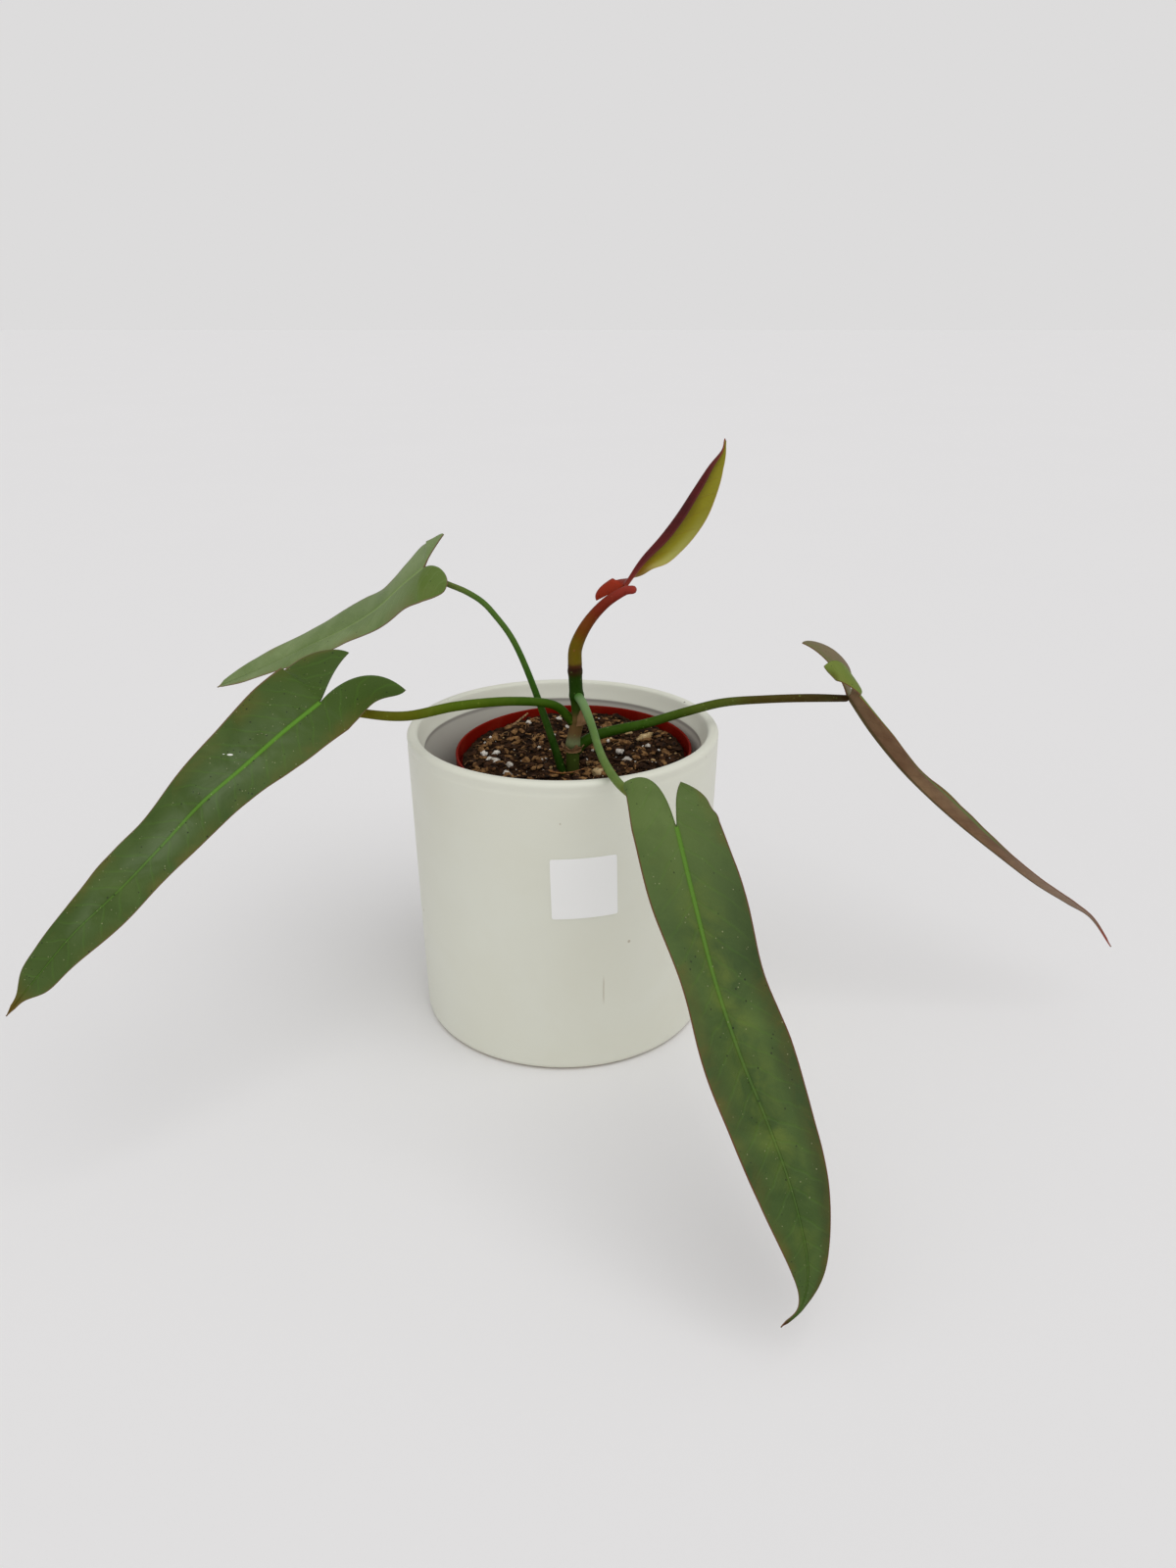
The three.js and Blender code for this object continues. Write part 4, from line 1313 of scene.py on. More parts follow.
@dataclass
class PottingMix:
    """Crumbly top of the mix, with bark, perlite, chips and fibres.

    Places are in the nursery pot's own frame.

    Attributes:
        below_rim: Depth of the surface below the pot's rim.
        slope: Rise of the surface toward the back.
        lumps: Fineness and height of the small lumps.
        pits: Fineness and depth of the pits between them.
        raised: Height added to the broken surface, before it is cut off at the next value.
        highest: Greatest height above the smooth surface.
        large: The crumbs that stand out, by kind: place, half size and stretch.
    """

    below_rim: float = 5.2
    slope: float = 0.03
    relief: float = 0.7
    clear: float = 0.35
    lumps: Span = (0.42, 0.75)
    pits: Span = (0.55, 0.9)
    raised: float = 0.35
    highest: float = 1.0
    rings: int = 92
    steps: int = 300
    seed: int = 11
    bark_count: int = 2300
    perlite_count: int = 130
    fibre_count: int = 70
    large: tuple[tuple[Grain, tuple[Numbers, ...]], ...] = (
        (
            Grain.PERLITE,
            (
                (-44.7, 4, 1.9, 1), (-41.4, -1.5, 1.5, 1.2), (-38.7, -5.5, 2.4, 1.1),
                (-38.9, 4.5, 1.7, 1.2), (-31.3, -10.9, 1.9, 1.1), (-32.1, -18.4, 1.8, 1.6),
                (-15.1, -6.3, 1.7, 1.3), (-8.5, 45.6, 1.7, 1.3), (-24.1, 40.7, 1.4, 1.3),
                (23.1, 3.2, 1.9, 1), (26.2, -5.5, 1.5, 1.5), (37, 8.6, 1.4, 1.2),
            ),
        ),
        (
            Grain.TAN_CHIP,
            (
                (38.6, -8.2, 1.2, 1), (11.7, -19, 3, 1.3), (36.6, 22.3, 2.1, 2.6),
                (27.7, 26.7, 1.7, 1.9),
            ),
        ),
        (Grain.BROWN_BARK, ((-12, 22, 2.2, 1.5), (16, 33, 2.3, 1.4))),
    )
    finishes: tuple[Finish, ...] = (
        Crumbly("dark_bark", tone(26, 14, 7), 0.85, 0.12, tone(78, 50, 28), 260.0),
        Crumbly("brown_bark", tone(88, 58, 32), 0.85, 0.12, tone(158, 120, 76), 380.0),
        Crumbly("perlite", tone(190, 182, 170), 0.9, 0.15, tone(232, 228, 220), 420.0, 0.2),
        Crumbly("tan_chip", tone(160, 130, 84), 0.8, 0.15, tone(206, 184, 142), 260.0),
    )
    soil: Crumbly = Crumbly("peat", tone(22, 12, 6), 0.95, 0.1, tone(64, 42, 24), 330.0, 0.5)
    fibre: DryLeaf = DryLeaf("tan_fibre", tone(168, 128, 82), 0.7, 0.4)

    def height(self, pot: NurseryPot, x: float, y: float) -> float:
        """Height of the smooth surface in the nursery pot's own frame.

        Args:
            pot: The nursery pot.
            x: Place across.
            y: Place ahead.

        Returns:
            The height.
        """
        waves = math.sin(0.21 * x + 0.6) * math.cos(0.17 * y)
        waves += 0.6 * math.sin(0.43 * x - 0.31 * y) + 0.4 * math.cos(0.71 * y + 0.5 * x)
        return pot.height - self.below_rim + self.slope * y + self.relief * waves

    def build(self, pot: NurseryPot, stem: Vector) -> list[Object]:
        """Builds the body of the mix, its crumbs and its fibres.

        Args:
            pot: The pot that holds the mix.
            stem: Where the stem stands, in the pot's own frame.

        Returns:
            The dressed pieces.
        """
        return [self.body(pot), self.crumbs(pot, stem), self.fibres(pot, stem)]

    def body(self, pot: NurseryPot) -> Object:
        """Spins the mix and breaks up its top.

        Args:
            pot: The nursery pot.

        Returns:
            The dressed piece.
        """
        shell = Shell()
        band = pot.height - pot.rim_band
        edge = pot.outer(band) - pot.wall - self.clear
        foot = pot.floor + self.clear
        profile = [(0, foot), (20, foot), (pot.outer(0) - pot.wall - 0.5, foot)]
        profile += [(pot.outer(70) - pot.wall - 0.4, 70), (edge, band - 3)]
        profile += [(edge * k / self.rings, pot.height) for k in range(self.rings, -1, -1)]
        shell.spin(profile, self.steps)
        for vert in shell.bm.verts:
            if vert.co.z > (band + 1) * MM:
                x, y = vert.co.x / MM, vert.co.y / MM
                spot = Vector((x, y, 0))
                lumps = noise.fractal(spot * self.lumps[0], 1.0, 2.2, 4)
                pits = noise.voronoi(spot * self.pits[0])[0][0]
                rough = self.lumps[1] * lumps - self.pits[1] * pits + self.raised
                vert.co.z = (self.height(pot, x, y) + min(rough, self.highest)) * MM
        pot.placed(shell)
        return shell.piece("crumbly_mix", [self.soil], ["potting_mix"], 180)

    def crumb(self, shell: Shell, dice: random.Random, place: Vector, size: Point, kind: Grain) -> None:
        """Adds one broken crumb.

        Args:
            shell: Mesh that it goes into.
            dice: Seeded random numbers.
            place: Its middle in millimetres.
            size: Its half sizes in millimetres.
            kind: What it is made of.
        """
        fine = 2 if kind in (Grain.PERLITE, Grain.TAN_CHIP) and max(size) > 1 else 1
        turn = Matrix.Rotation(dice.uniform(0, math.tau), 4, "Z")
        turn @= Matrix.Rotation(dice.uniform(-0.5, 0.5), 4, "X")
        matrix = Matrix.Translation(place * MM) @ turn @ Matrix.Diagonal((*[s * MM for s in size], 1))
        made = bmesh.ops.create_icosphere(shell.bm, subdivisions=fine, radius=1.0, matrix=matrix)["verts"]
        for vert in made:
            spread = 1 + 0.5 * noise.noise(vert.co / MM * 0.9) + dice.uniform(-0.2, 0.2)
            vert.co = place * MM + (vert.co - place * MM) * spread
        for face in {face for vert in made for face in vert.link_faces}:
            face.material_index = kind.value
            face.smooth = fine == 2

    def scatter(self, pot: NurseryPot, stem: Vector, dice: random.Random, clear: float) -> Vector:
        """A random place on the mix, away from the stem.

        Args:
            pot: The nursery pot.
            stem: Where the stem stands, in the pot's own frame.
            dice: Seeded random numbers.
            clear: Gap to keep from the stem.

        Returns:
            The place.
        """
        while True:
            r = (pot.rim_radius - 6) * math.sqrt(dice.random())
            a = dice.uniform(0, math.tau)
            x, y = r * math.cos(a), r * math.sin(a)
            if math.hypot(x - stem.x, y - stem.y) > clear:
                return Vector((x, y, self.height(pot, x, y)))

    def crumbs(self, pot: NurseryPot, stem: Vector) -> Object:
        """Strews the crumbs that lie on the mix.

        Args:
            pot: The nursery pot.
            stem: Where the stem stands, in the pot's own frame.

        Returns:
            The dressed piece.
        """
        shell = Shell()
        dice = random.Random(self.seed)
        for kind, rows in self.large:
            for x, y, half, stretch in rows:
                place = Vector((x, y, self.height(pot, x, y) + 0.3 * half))
                self.crumb(shell, dice, place, (half * stretch, half, half * 0.75), kind)
        for _ in range(self.bark_count):
            place = self.scatter(pot, stem, dice, 5)
            half = 0.32 + 1.5 * dice.random() ** 3
            kind = Grain.BROWN_BARK if dice.random() < 0.36 else Grain.DARK_BARK
            size = (half * dice.uniform(1, 2.2), half, half * dice.uniform(0.4, 0.8))
            self.crumb(shell, dice, place + Vector((0, 0, 0.45 * half)), size, kind)
        for _ in range(self.perlite_count):
            place = self.scatter(pot, stem, dice, 6)
            half = 0.25 + 0.8 * dice.random() ** 2
            kind = Grain.PERLITE if dice.random() < 0.55 else Grain.TAN_CHIP
            place += Vector((0, 0, 0.8 * half))
            self.crumb(shell, dice, place, (half * 1.15, half, half * 0.9), kind)
        pot.placed(shell)
        return shell.piece("bark_and_perlite", self.finishes, [])

    def fibres(self, pot: NurseryPot, stem: Vector) -> Object:
        """Lays short dry fibres between the crumbs.

        Args:
            pot: The nursery pot.
            stem: Where the stem stands, in the pot's own frame.

        Returns:
            The dressed piece.
        """
        shell = Shell()
        dice = random.Random(self.seed + 1)
        for _ in range(self.fibre_count):
            place = self.scatter(pot, stem, dice, 8)
            a = dice.uniform(0, math.tau)
            length = dice.uniform(2.5, 7.5)
            ahead = Vector((math.cos(a), math.sin(a), 0)) * length / 2
            side = Vector((-math.sin(a), math.cos(a), 0)) * dice.uniform(-1.2, 1.2)
            path = []
            for share, lift in ((-1, -0.2), (-0.3, 0.7), (0.4, 0.9), (1, 0.0)):
                spot = place + ahead * share + side * (1 - share * share)
                reach = min(1.0, (pot.rim_radius - 4) / max(spot.xy.length, 1))
                x, y = spot.x * reach, spot.y * reach
                path.append((x, y, self.height(pot, x, y) + lift + 0.3))
            thin = dice.uniform(0.09, 0.2)
            shell.tube(Line(path), lambda s, r=thin: r, 5, 1.2)
        pot.placed(shell)
        return shell.piece("mix_fibres", [self.fibre], [], 180)


# Stem, dry sheaths and strands


@dataclass
class Stem:
    """Short upright stem with low leaf scars.

    Attributes:
        nodes: Place along the stem and height of each leaf scar.
        node_width: Width of a scar, as a share of the length.
    """

    path: tuple[Point, ...] = (
        (4.5, -10, 112), (5, -10, 143), (7.5, -10, 157.5), (6.5, -10, 170), (6, -10, 181.5),
    )
    radius: float = 3.2
    nodes: tuple[Span, ...] = ((0.45, 0.5), (0.63, 0.45), (0.8, 0.4), (0.97, 0.35))
    node_width: float = 0.025
    sides: int = 32
    step: float = 0.6
    skin: Stalk = Stalk(
        "stem_skin", tone(50, 80, 20), 0.45, 0.06,
        stops=shades(
            (0.2, 50, 58, 20), (0.38, 60, 76, 26), (0.46, 112, 120, 84), (0.54, 112, 86, 52),
            (0.64, 106, 84, 48), (0.72, 48, 70, 14), (0.8, 30, 60, 3), (0.92, 30, 54, 2),
            (0.965, 48, 34, 8), (0.985, 44, 14, 6), (1.0, 52, 26, 10),
        ),
        bloom_and_sheen_share=0.05,
    )

    def thickness(self, s: float) -> float:
        """Radius at a share of the length, with the leaf scars."""
        swell = sum(size * math.exp(-(((s - place) / self.node_width) ** 2)) for place, size in self.nodes)
        return self.radius + swell

    def build(self) -> Object:
        """Sweeps the stem.

        Returns:
            The dressed piece.
        """
        shell = Shell()
        shell.tube(Line(self.path), self.thickness, self.sides, self.step)
        return shell.piece("upright_stem", [self.skin], ["stem"], 60)


@dataclass
class DrySheath:
    """Torn papery collar that stands round the stem.

    Attributes:
        low: Where it starts, as a share of the stem's length, and high where it ends.
        flare: How far its upper edge stands out.
        open: Angle of its gap, in degrees.
        turn: Direction of its gap, in degrees.
        tear: Depth of the tears in its upper edge, as a share of the stem's length.
        clear: Gap between the collar and the stem.
    """

    name: str
    node: str
    low: float
    high: float
    flare: float
    open: float
    turn: float
    tear: float
    thickness: float = 0.35
    clear: float = 0.6
    columns: int = 90
    rows: int = 22
    skin: DryLeaf = DryLeaf("dry_sheath", tone(176, 132, 88), 0.7, 0.35)

    def build(self, stem: Stem) -> Object:
        """Lays the collar round the stem.

        Args:
            stem: The stem inside it.

        Returns:
            The dressed piece.
        """
        shell = Shell()
        normal, depth = shell.layers("normal", "depth")
        line = Line(stem.path)

        def lay(vert: Corner, x: float, y: float) -> None:
            """Puts a corner on the collar.

            Args:
                vert: The corner.
                x: Share of the way across.
                y: Share of the way along.
            """
            a = math.radians(self.turn + self.open / 2 + (360 - self.open) * x)
            torn = self.high - self.tear * (0.5 + 0.5 * math.sin(5 * a + 1.3) * math.cos(2 * a))
            torn -= 0.012 * (1 + noise.noise(Vector((a * 3.1, self.turn, 0)))) * ease(y)
            s = self.low + (torn - self.low) * y
            out = Vector((math.cos(a), math.sin(a), 0))
            reach = stem.thickness(s) + self.clear + self.flare * y * y + 0.25 * math.sin(7 * a) ** 2
            reach += 0.35 * noise.noise(Vector((a * 2.2, y * 3.0, self.turn)))
            vert.co = (line.share(s) + out * reach) * MM
            vert[normal] = out
            vert[depth] = (self.thickness / 2, self.thickness / 2, 0)

        shell.sheet(self.columns, self.rows, lay)
        shell.thicken()
        shell.outward()
        return shell.piece(self.name, [self.skin] * 3, [self.node], 60)


@dataclass
class Strand:
    """Dry strand that lies on the mix, with its path in the nursery pot's own frame."""

    name: str
    node: str
    path: tuple[Point, ...]
    radius: float
    skin: DryLeaf

    def build(self, pot: NurseryPot, mix: PottingMix) -> Object:
        """Sweeps the strand over the mix.

        Args:
            pot: The pot whose frame its path is in.
            mix: The mix that it lies on.

        Returns:
            The dressed piece.
        """
        shell = Shell()
        path = [(x, y, mix.height(pot, x, y) + above) for x, y, above in self.path]

        def knots(s: float) -> float:
            """Radius with small knots."""
            return self.radius * (1 - 0.35 * s) * (1 + 0.16 * math.sin(19 * s) * math.sin(7 * s + 1))

        shell.tube(Line(path), knots, 12, 0.5)
        pot.placed(shell)
        return shell.piece(self.name, [self.skin], [self.node], 180)


# Leaves


class Side(Enum):
    """Halves of a blade, seen from above looking to the tip."""

    LEFT = -1
    RIGHT = 1


@dataclass(frozen=True)
class Half:
    """One half of a blade.

    Attributes:
        fold: Angles at which the half rises from the midrib.
        curl: Angles by which it bends on to the margin.
        lobe_fold: Fold from the base to the end of the lobe.
        lobe_curl: Curl from the base to the end of the lobe.
        lobe: Two guide points and the end of the lobe's inner edge.
        lobe_widths: Factors on the lobe's width.
        lobe_turn: How far the lobe's rows turn with its inner edge.
    """

    widths: Numbers
    fold: Numbers
    curl: Numbers
    lobe_fold: Numbers
    lobe_curl: Numbers
    lobe: tuple[Point, Point, Point]
    lobe_widths: Numbers = (1.0, 1.0)
    lobe_turn: float = 1.0


@dataclass(frozen=True)
class LeafShape:
    """Shape of a leaf: its midrib, its faces' direction, its halves and its petiole."""

    spine: tuple[Point, ...]
    face: tuple[Point, ...]
    ripple: tuple[float, float]
    left: Half
    right: Half
    petiole: tuple[Point, ...]
    radii: Numbers

    def half(self, side: Side) -> Half:
        """The half on a side."""
        return self.left if side is Side.LEFT else self.right


class BladeRow:
    """One row of a blade, across it from the midrib or a lobe's inner edge to the margin."""

    BLEND_LOBE = 0.45
    STEP = 1e-3
    TIP_TAPER = 30.0
    RIPPLE_END = 5.0
    FULL_WAVE = 10.0

    def __init__(self, shape: LeafShape, side: Side, v: float) -> None:
        """Works out where the row starts and how it points and bends.

        Args:
            shape: The leaf.
            side: Half of the blade.
            v: From 0 at the petiole to 1 at the tip, and from 0 to -1 at the end of a lobe.
        """
        half = shape.half(side)
        spine = vectors(shape.spine)
        t, lobe = max(v, 0.0), max(-v, 0.0)
        tangent = self.slope(lambda u: along(spine, u), t)
        self.v = v
        self.ripple = shape.ripple
        self.origin = along(spine, t)
        self.width = along(half.widths, t) * min(1.0, self.TIP_TAPER * (1 - t))
        fold, curl = along(half.fold, t), along(half.curl, t)
        if lobe > 0:
            guides = [spine[0], *vectors(half.lobe)]

            def edge(u: float) -> Vector:
                """Point on the lobe's inner edge."""
                a, b, c, d = guides
                return (1 - u) ** 3 * a + 3 * (1 - u) ** 2 * u * b + 3 * (1 - u) * u * u * c + u**3 * d

            self.origin = edge(lobe)
            turn = half.lobe_turn * ease(lobe / self.BLEND_LOBE)
            tangent = tangent.lerp(-self.slope(edge, lobe), turn).normalized()
            round_end = math.sqrt(max(0.0, 1 - lobe * lobe))
            self.width = half.widths[0] * round_end * along(half.lobe_widths, lobe)
            fold, curl = along(half.lobe_fold, lobe), along(half.lobe_curl, lobe)
        up = along(vectors(shape.face), t)
        self.up = (up - tangent * up.dot(tangent)).normalized()
        self.out = tangent.cross(self.up) * side.value
        self.fold = math.radians(fold)
        bend = math.radians(curl)
        self.bend = bend if abs(bend) > 1e-4 else 1e-4

    def slope(self, curve: Callable[[float], Vector], t: float) -> Vector:
        """Direction of a curve at t."""
        return (curve(min(t + self.STEP, 1.0)) - curve(max(t - self.STEP, 0.0))).normalized()

    def normal(self, q: float) -> Vector:
        """Upward normal at a share q of the width."""
        angle = self.fold + self.bend * q
        return self.up * math.cos(angle) - self.out * math.sin(angle)

    def place(self, q: float) -> Vector:
        """Place at a share q of the width.

        Args:
            q: Share of the width.

        Returns:
            The place.
        """
        radius = self.width / self.bend
        flat_out = radius * math.sin(self.bend * q)
        flat_up = radius * (1 - math.cos(self.bend * q))
        c, s = math.cos(self.fold), math.sin(self.fold)
        size, count = self.ripple
        t = max(self.v, 0.0)
        calm = min(1.0, self.RIPPLE_END * (1 - t)) * self.share_of_wave
        ripple = size * q * q * math.sin(math.tau * count * t) * calm
        outward, upward = flat_out * c - flat_up * s, flat_out * s + flat_up * c + ripple
        return self.origin + self.out * outward + self.up * upward

    @property
    def share_of_wave(self) -> float:
        """How much of its waves a row has: less where it is narrow."""
        return min(1.0, self.width / self.FULL_WAVE)


@dataclass
class Leaf:
    """A leaf on its petiole.

    Attributes:
        name: Its name in LEAVES and in the CAD nodes.
        rib_depth: How far the midrib stands out below.
        rib_reach: Distance over which that ends.
        groove: Depth of the groove over the midrib.
        groove_reach: Distance over which that ends.
        wave: Size of the small random waves at the margin.
        wave_scale: Fineness of those waves.
        lobe_length: Length of a lobe for the pattern of the veins.
    """

    name: str
    top: BladeTop
    underside: BladeUnderside
    edge: Finish
    stalk: Stalk
    blade_slot: str
    petiole_slot: str = "petiole_green"
    thickness: float = 0.6
    margin: float = 0.36
    rib_depth: float = 0.6
    rows: int = 150
    lobe_rows: int = 34
    columns: int = 22
    wave: float = 0.25
    wave_scale: float = 0.09
    rib_reach: float = 1.7
    groove: float = 0.2
    groove_reach: float = 0.9
    lobe_length: float = 30.0

    @property
    def shape(self) -> LeafShape:
        """The leaf's own shape."""
        return LEAVES[self.name]

    def build(self) -> list[Object]:
        """Builds the blade and the petiole.

        Returns:
            The dressed pieces.
        """
        return [self.blade(), self.petiole()]

    def blade(self) -> Object:
        """Lays both halves of the blade and gives them their thickness.

        Returns:
            The dressed piece.
        """
        shell = Shell()
        length = Line(self.shape.spine).length
        for side in Side:
            self.lay_half(shell, side, length)
        shell.merge(4e-6)
        shell.thicken()
        finishes = [self.top, self.underside, self.edge]
        return shell.piece(f"blade_of_{self.name}", finishes, [f"blade_{self.name}"], 180)

    def lay_half(self, shell: Shell, side: Side, length: float) -> None:
        """Lays one half of the blade.

        Args:
            shell: Mesh that it goes into.
            side: Which half.
            length: Length of the midrib.
        """
        normal, depth, leaf, flat = shell.layers("normal", "depth", "leaf", "flat")
        total = self.rows + self.lobe_rows
        done: dict[int, tuple[BladeRow, BladeRow]] = {}
        other = Side.RIGHT if side is Side.LEFT else Side.LEFT

        def lay(vert: Corner, x: float, y: float) -> None:
            """Puts a corner on the blade.

            Args:
                vert: The corner.
                x: Share of the way across.
                y: Share of the way along.
            """
            k = round(y * total)
            if k not in done:
                step = k - self.lobe_rows
                v = step / self.rows if step >= 0 else -math.sin(0.5 * math.pi * -step / self.lobe_rows)
                done[k] = (BladeRow(self.shape, side, v), BladeRow(self.shape, other, v))
            row, twin = done[k]
            q = 1 - x if side is Side.LEFT else x
            direction = row.normal(q)
            if q < 1e-4 and row.v >= 0:
                direction = (direction + twin.normal(0.0)).normalized()
            away = q * row.width
            spot = row.place(q)
            waves = noise.noise(spot * self.wave_scale + Vector((0, 0, side.value * 3.0)))
            waves *= self.wave * row.share_of_wave * q**3
            thin = self.thickness + (self.margin - self.thickness) * q**6
            fade = max(0.0, 1 + 3 * row.v) if row.v < 0 else 1 - row.v * row.v
            rib = self.rib_depth * math.exp(-((away / self.rib_reach) ** 2)) * fade
            groove = self.groove * math.exp(-((away / self.groove_reach) ** 2)) * fade
            vert.co = (spot + direction * waves) * MM
            vert[normal] = direction
            vert[depth] = (thin / 2 - groove, thin / 2 + rib, 0)
            vert[leaf] = (q * side.value, row.v, row.width)
            vert[flat] = (away * side.value, row.v * (length if row.v >= 0 else self.lobe_length), 0)

        shell.sheet(self.columns, total, lay)

    def petiole(self) -> Object:
        """Sweeps the petiole.

        Returns:
            The dressed piece.
        """
        shell = Shell()
        shell.tube(Line(self.shape.petiole), lambda s: along(self.shape.radii, s), 28, 1.2)
        node = f"petiole_{self.name}"
        return shell.piece(f"petiole_of_{self.name}", [self.stalk], [node], 60)


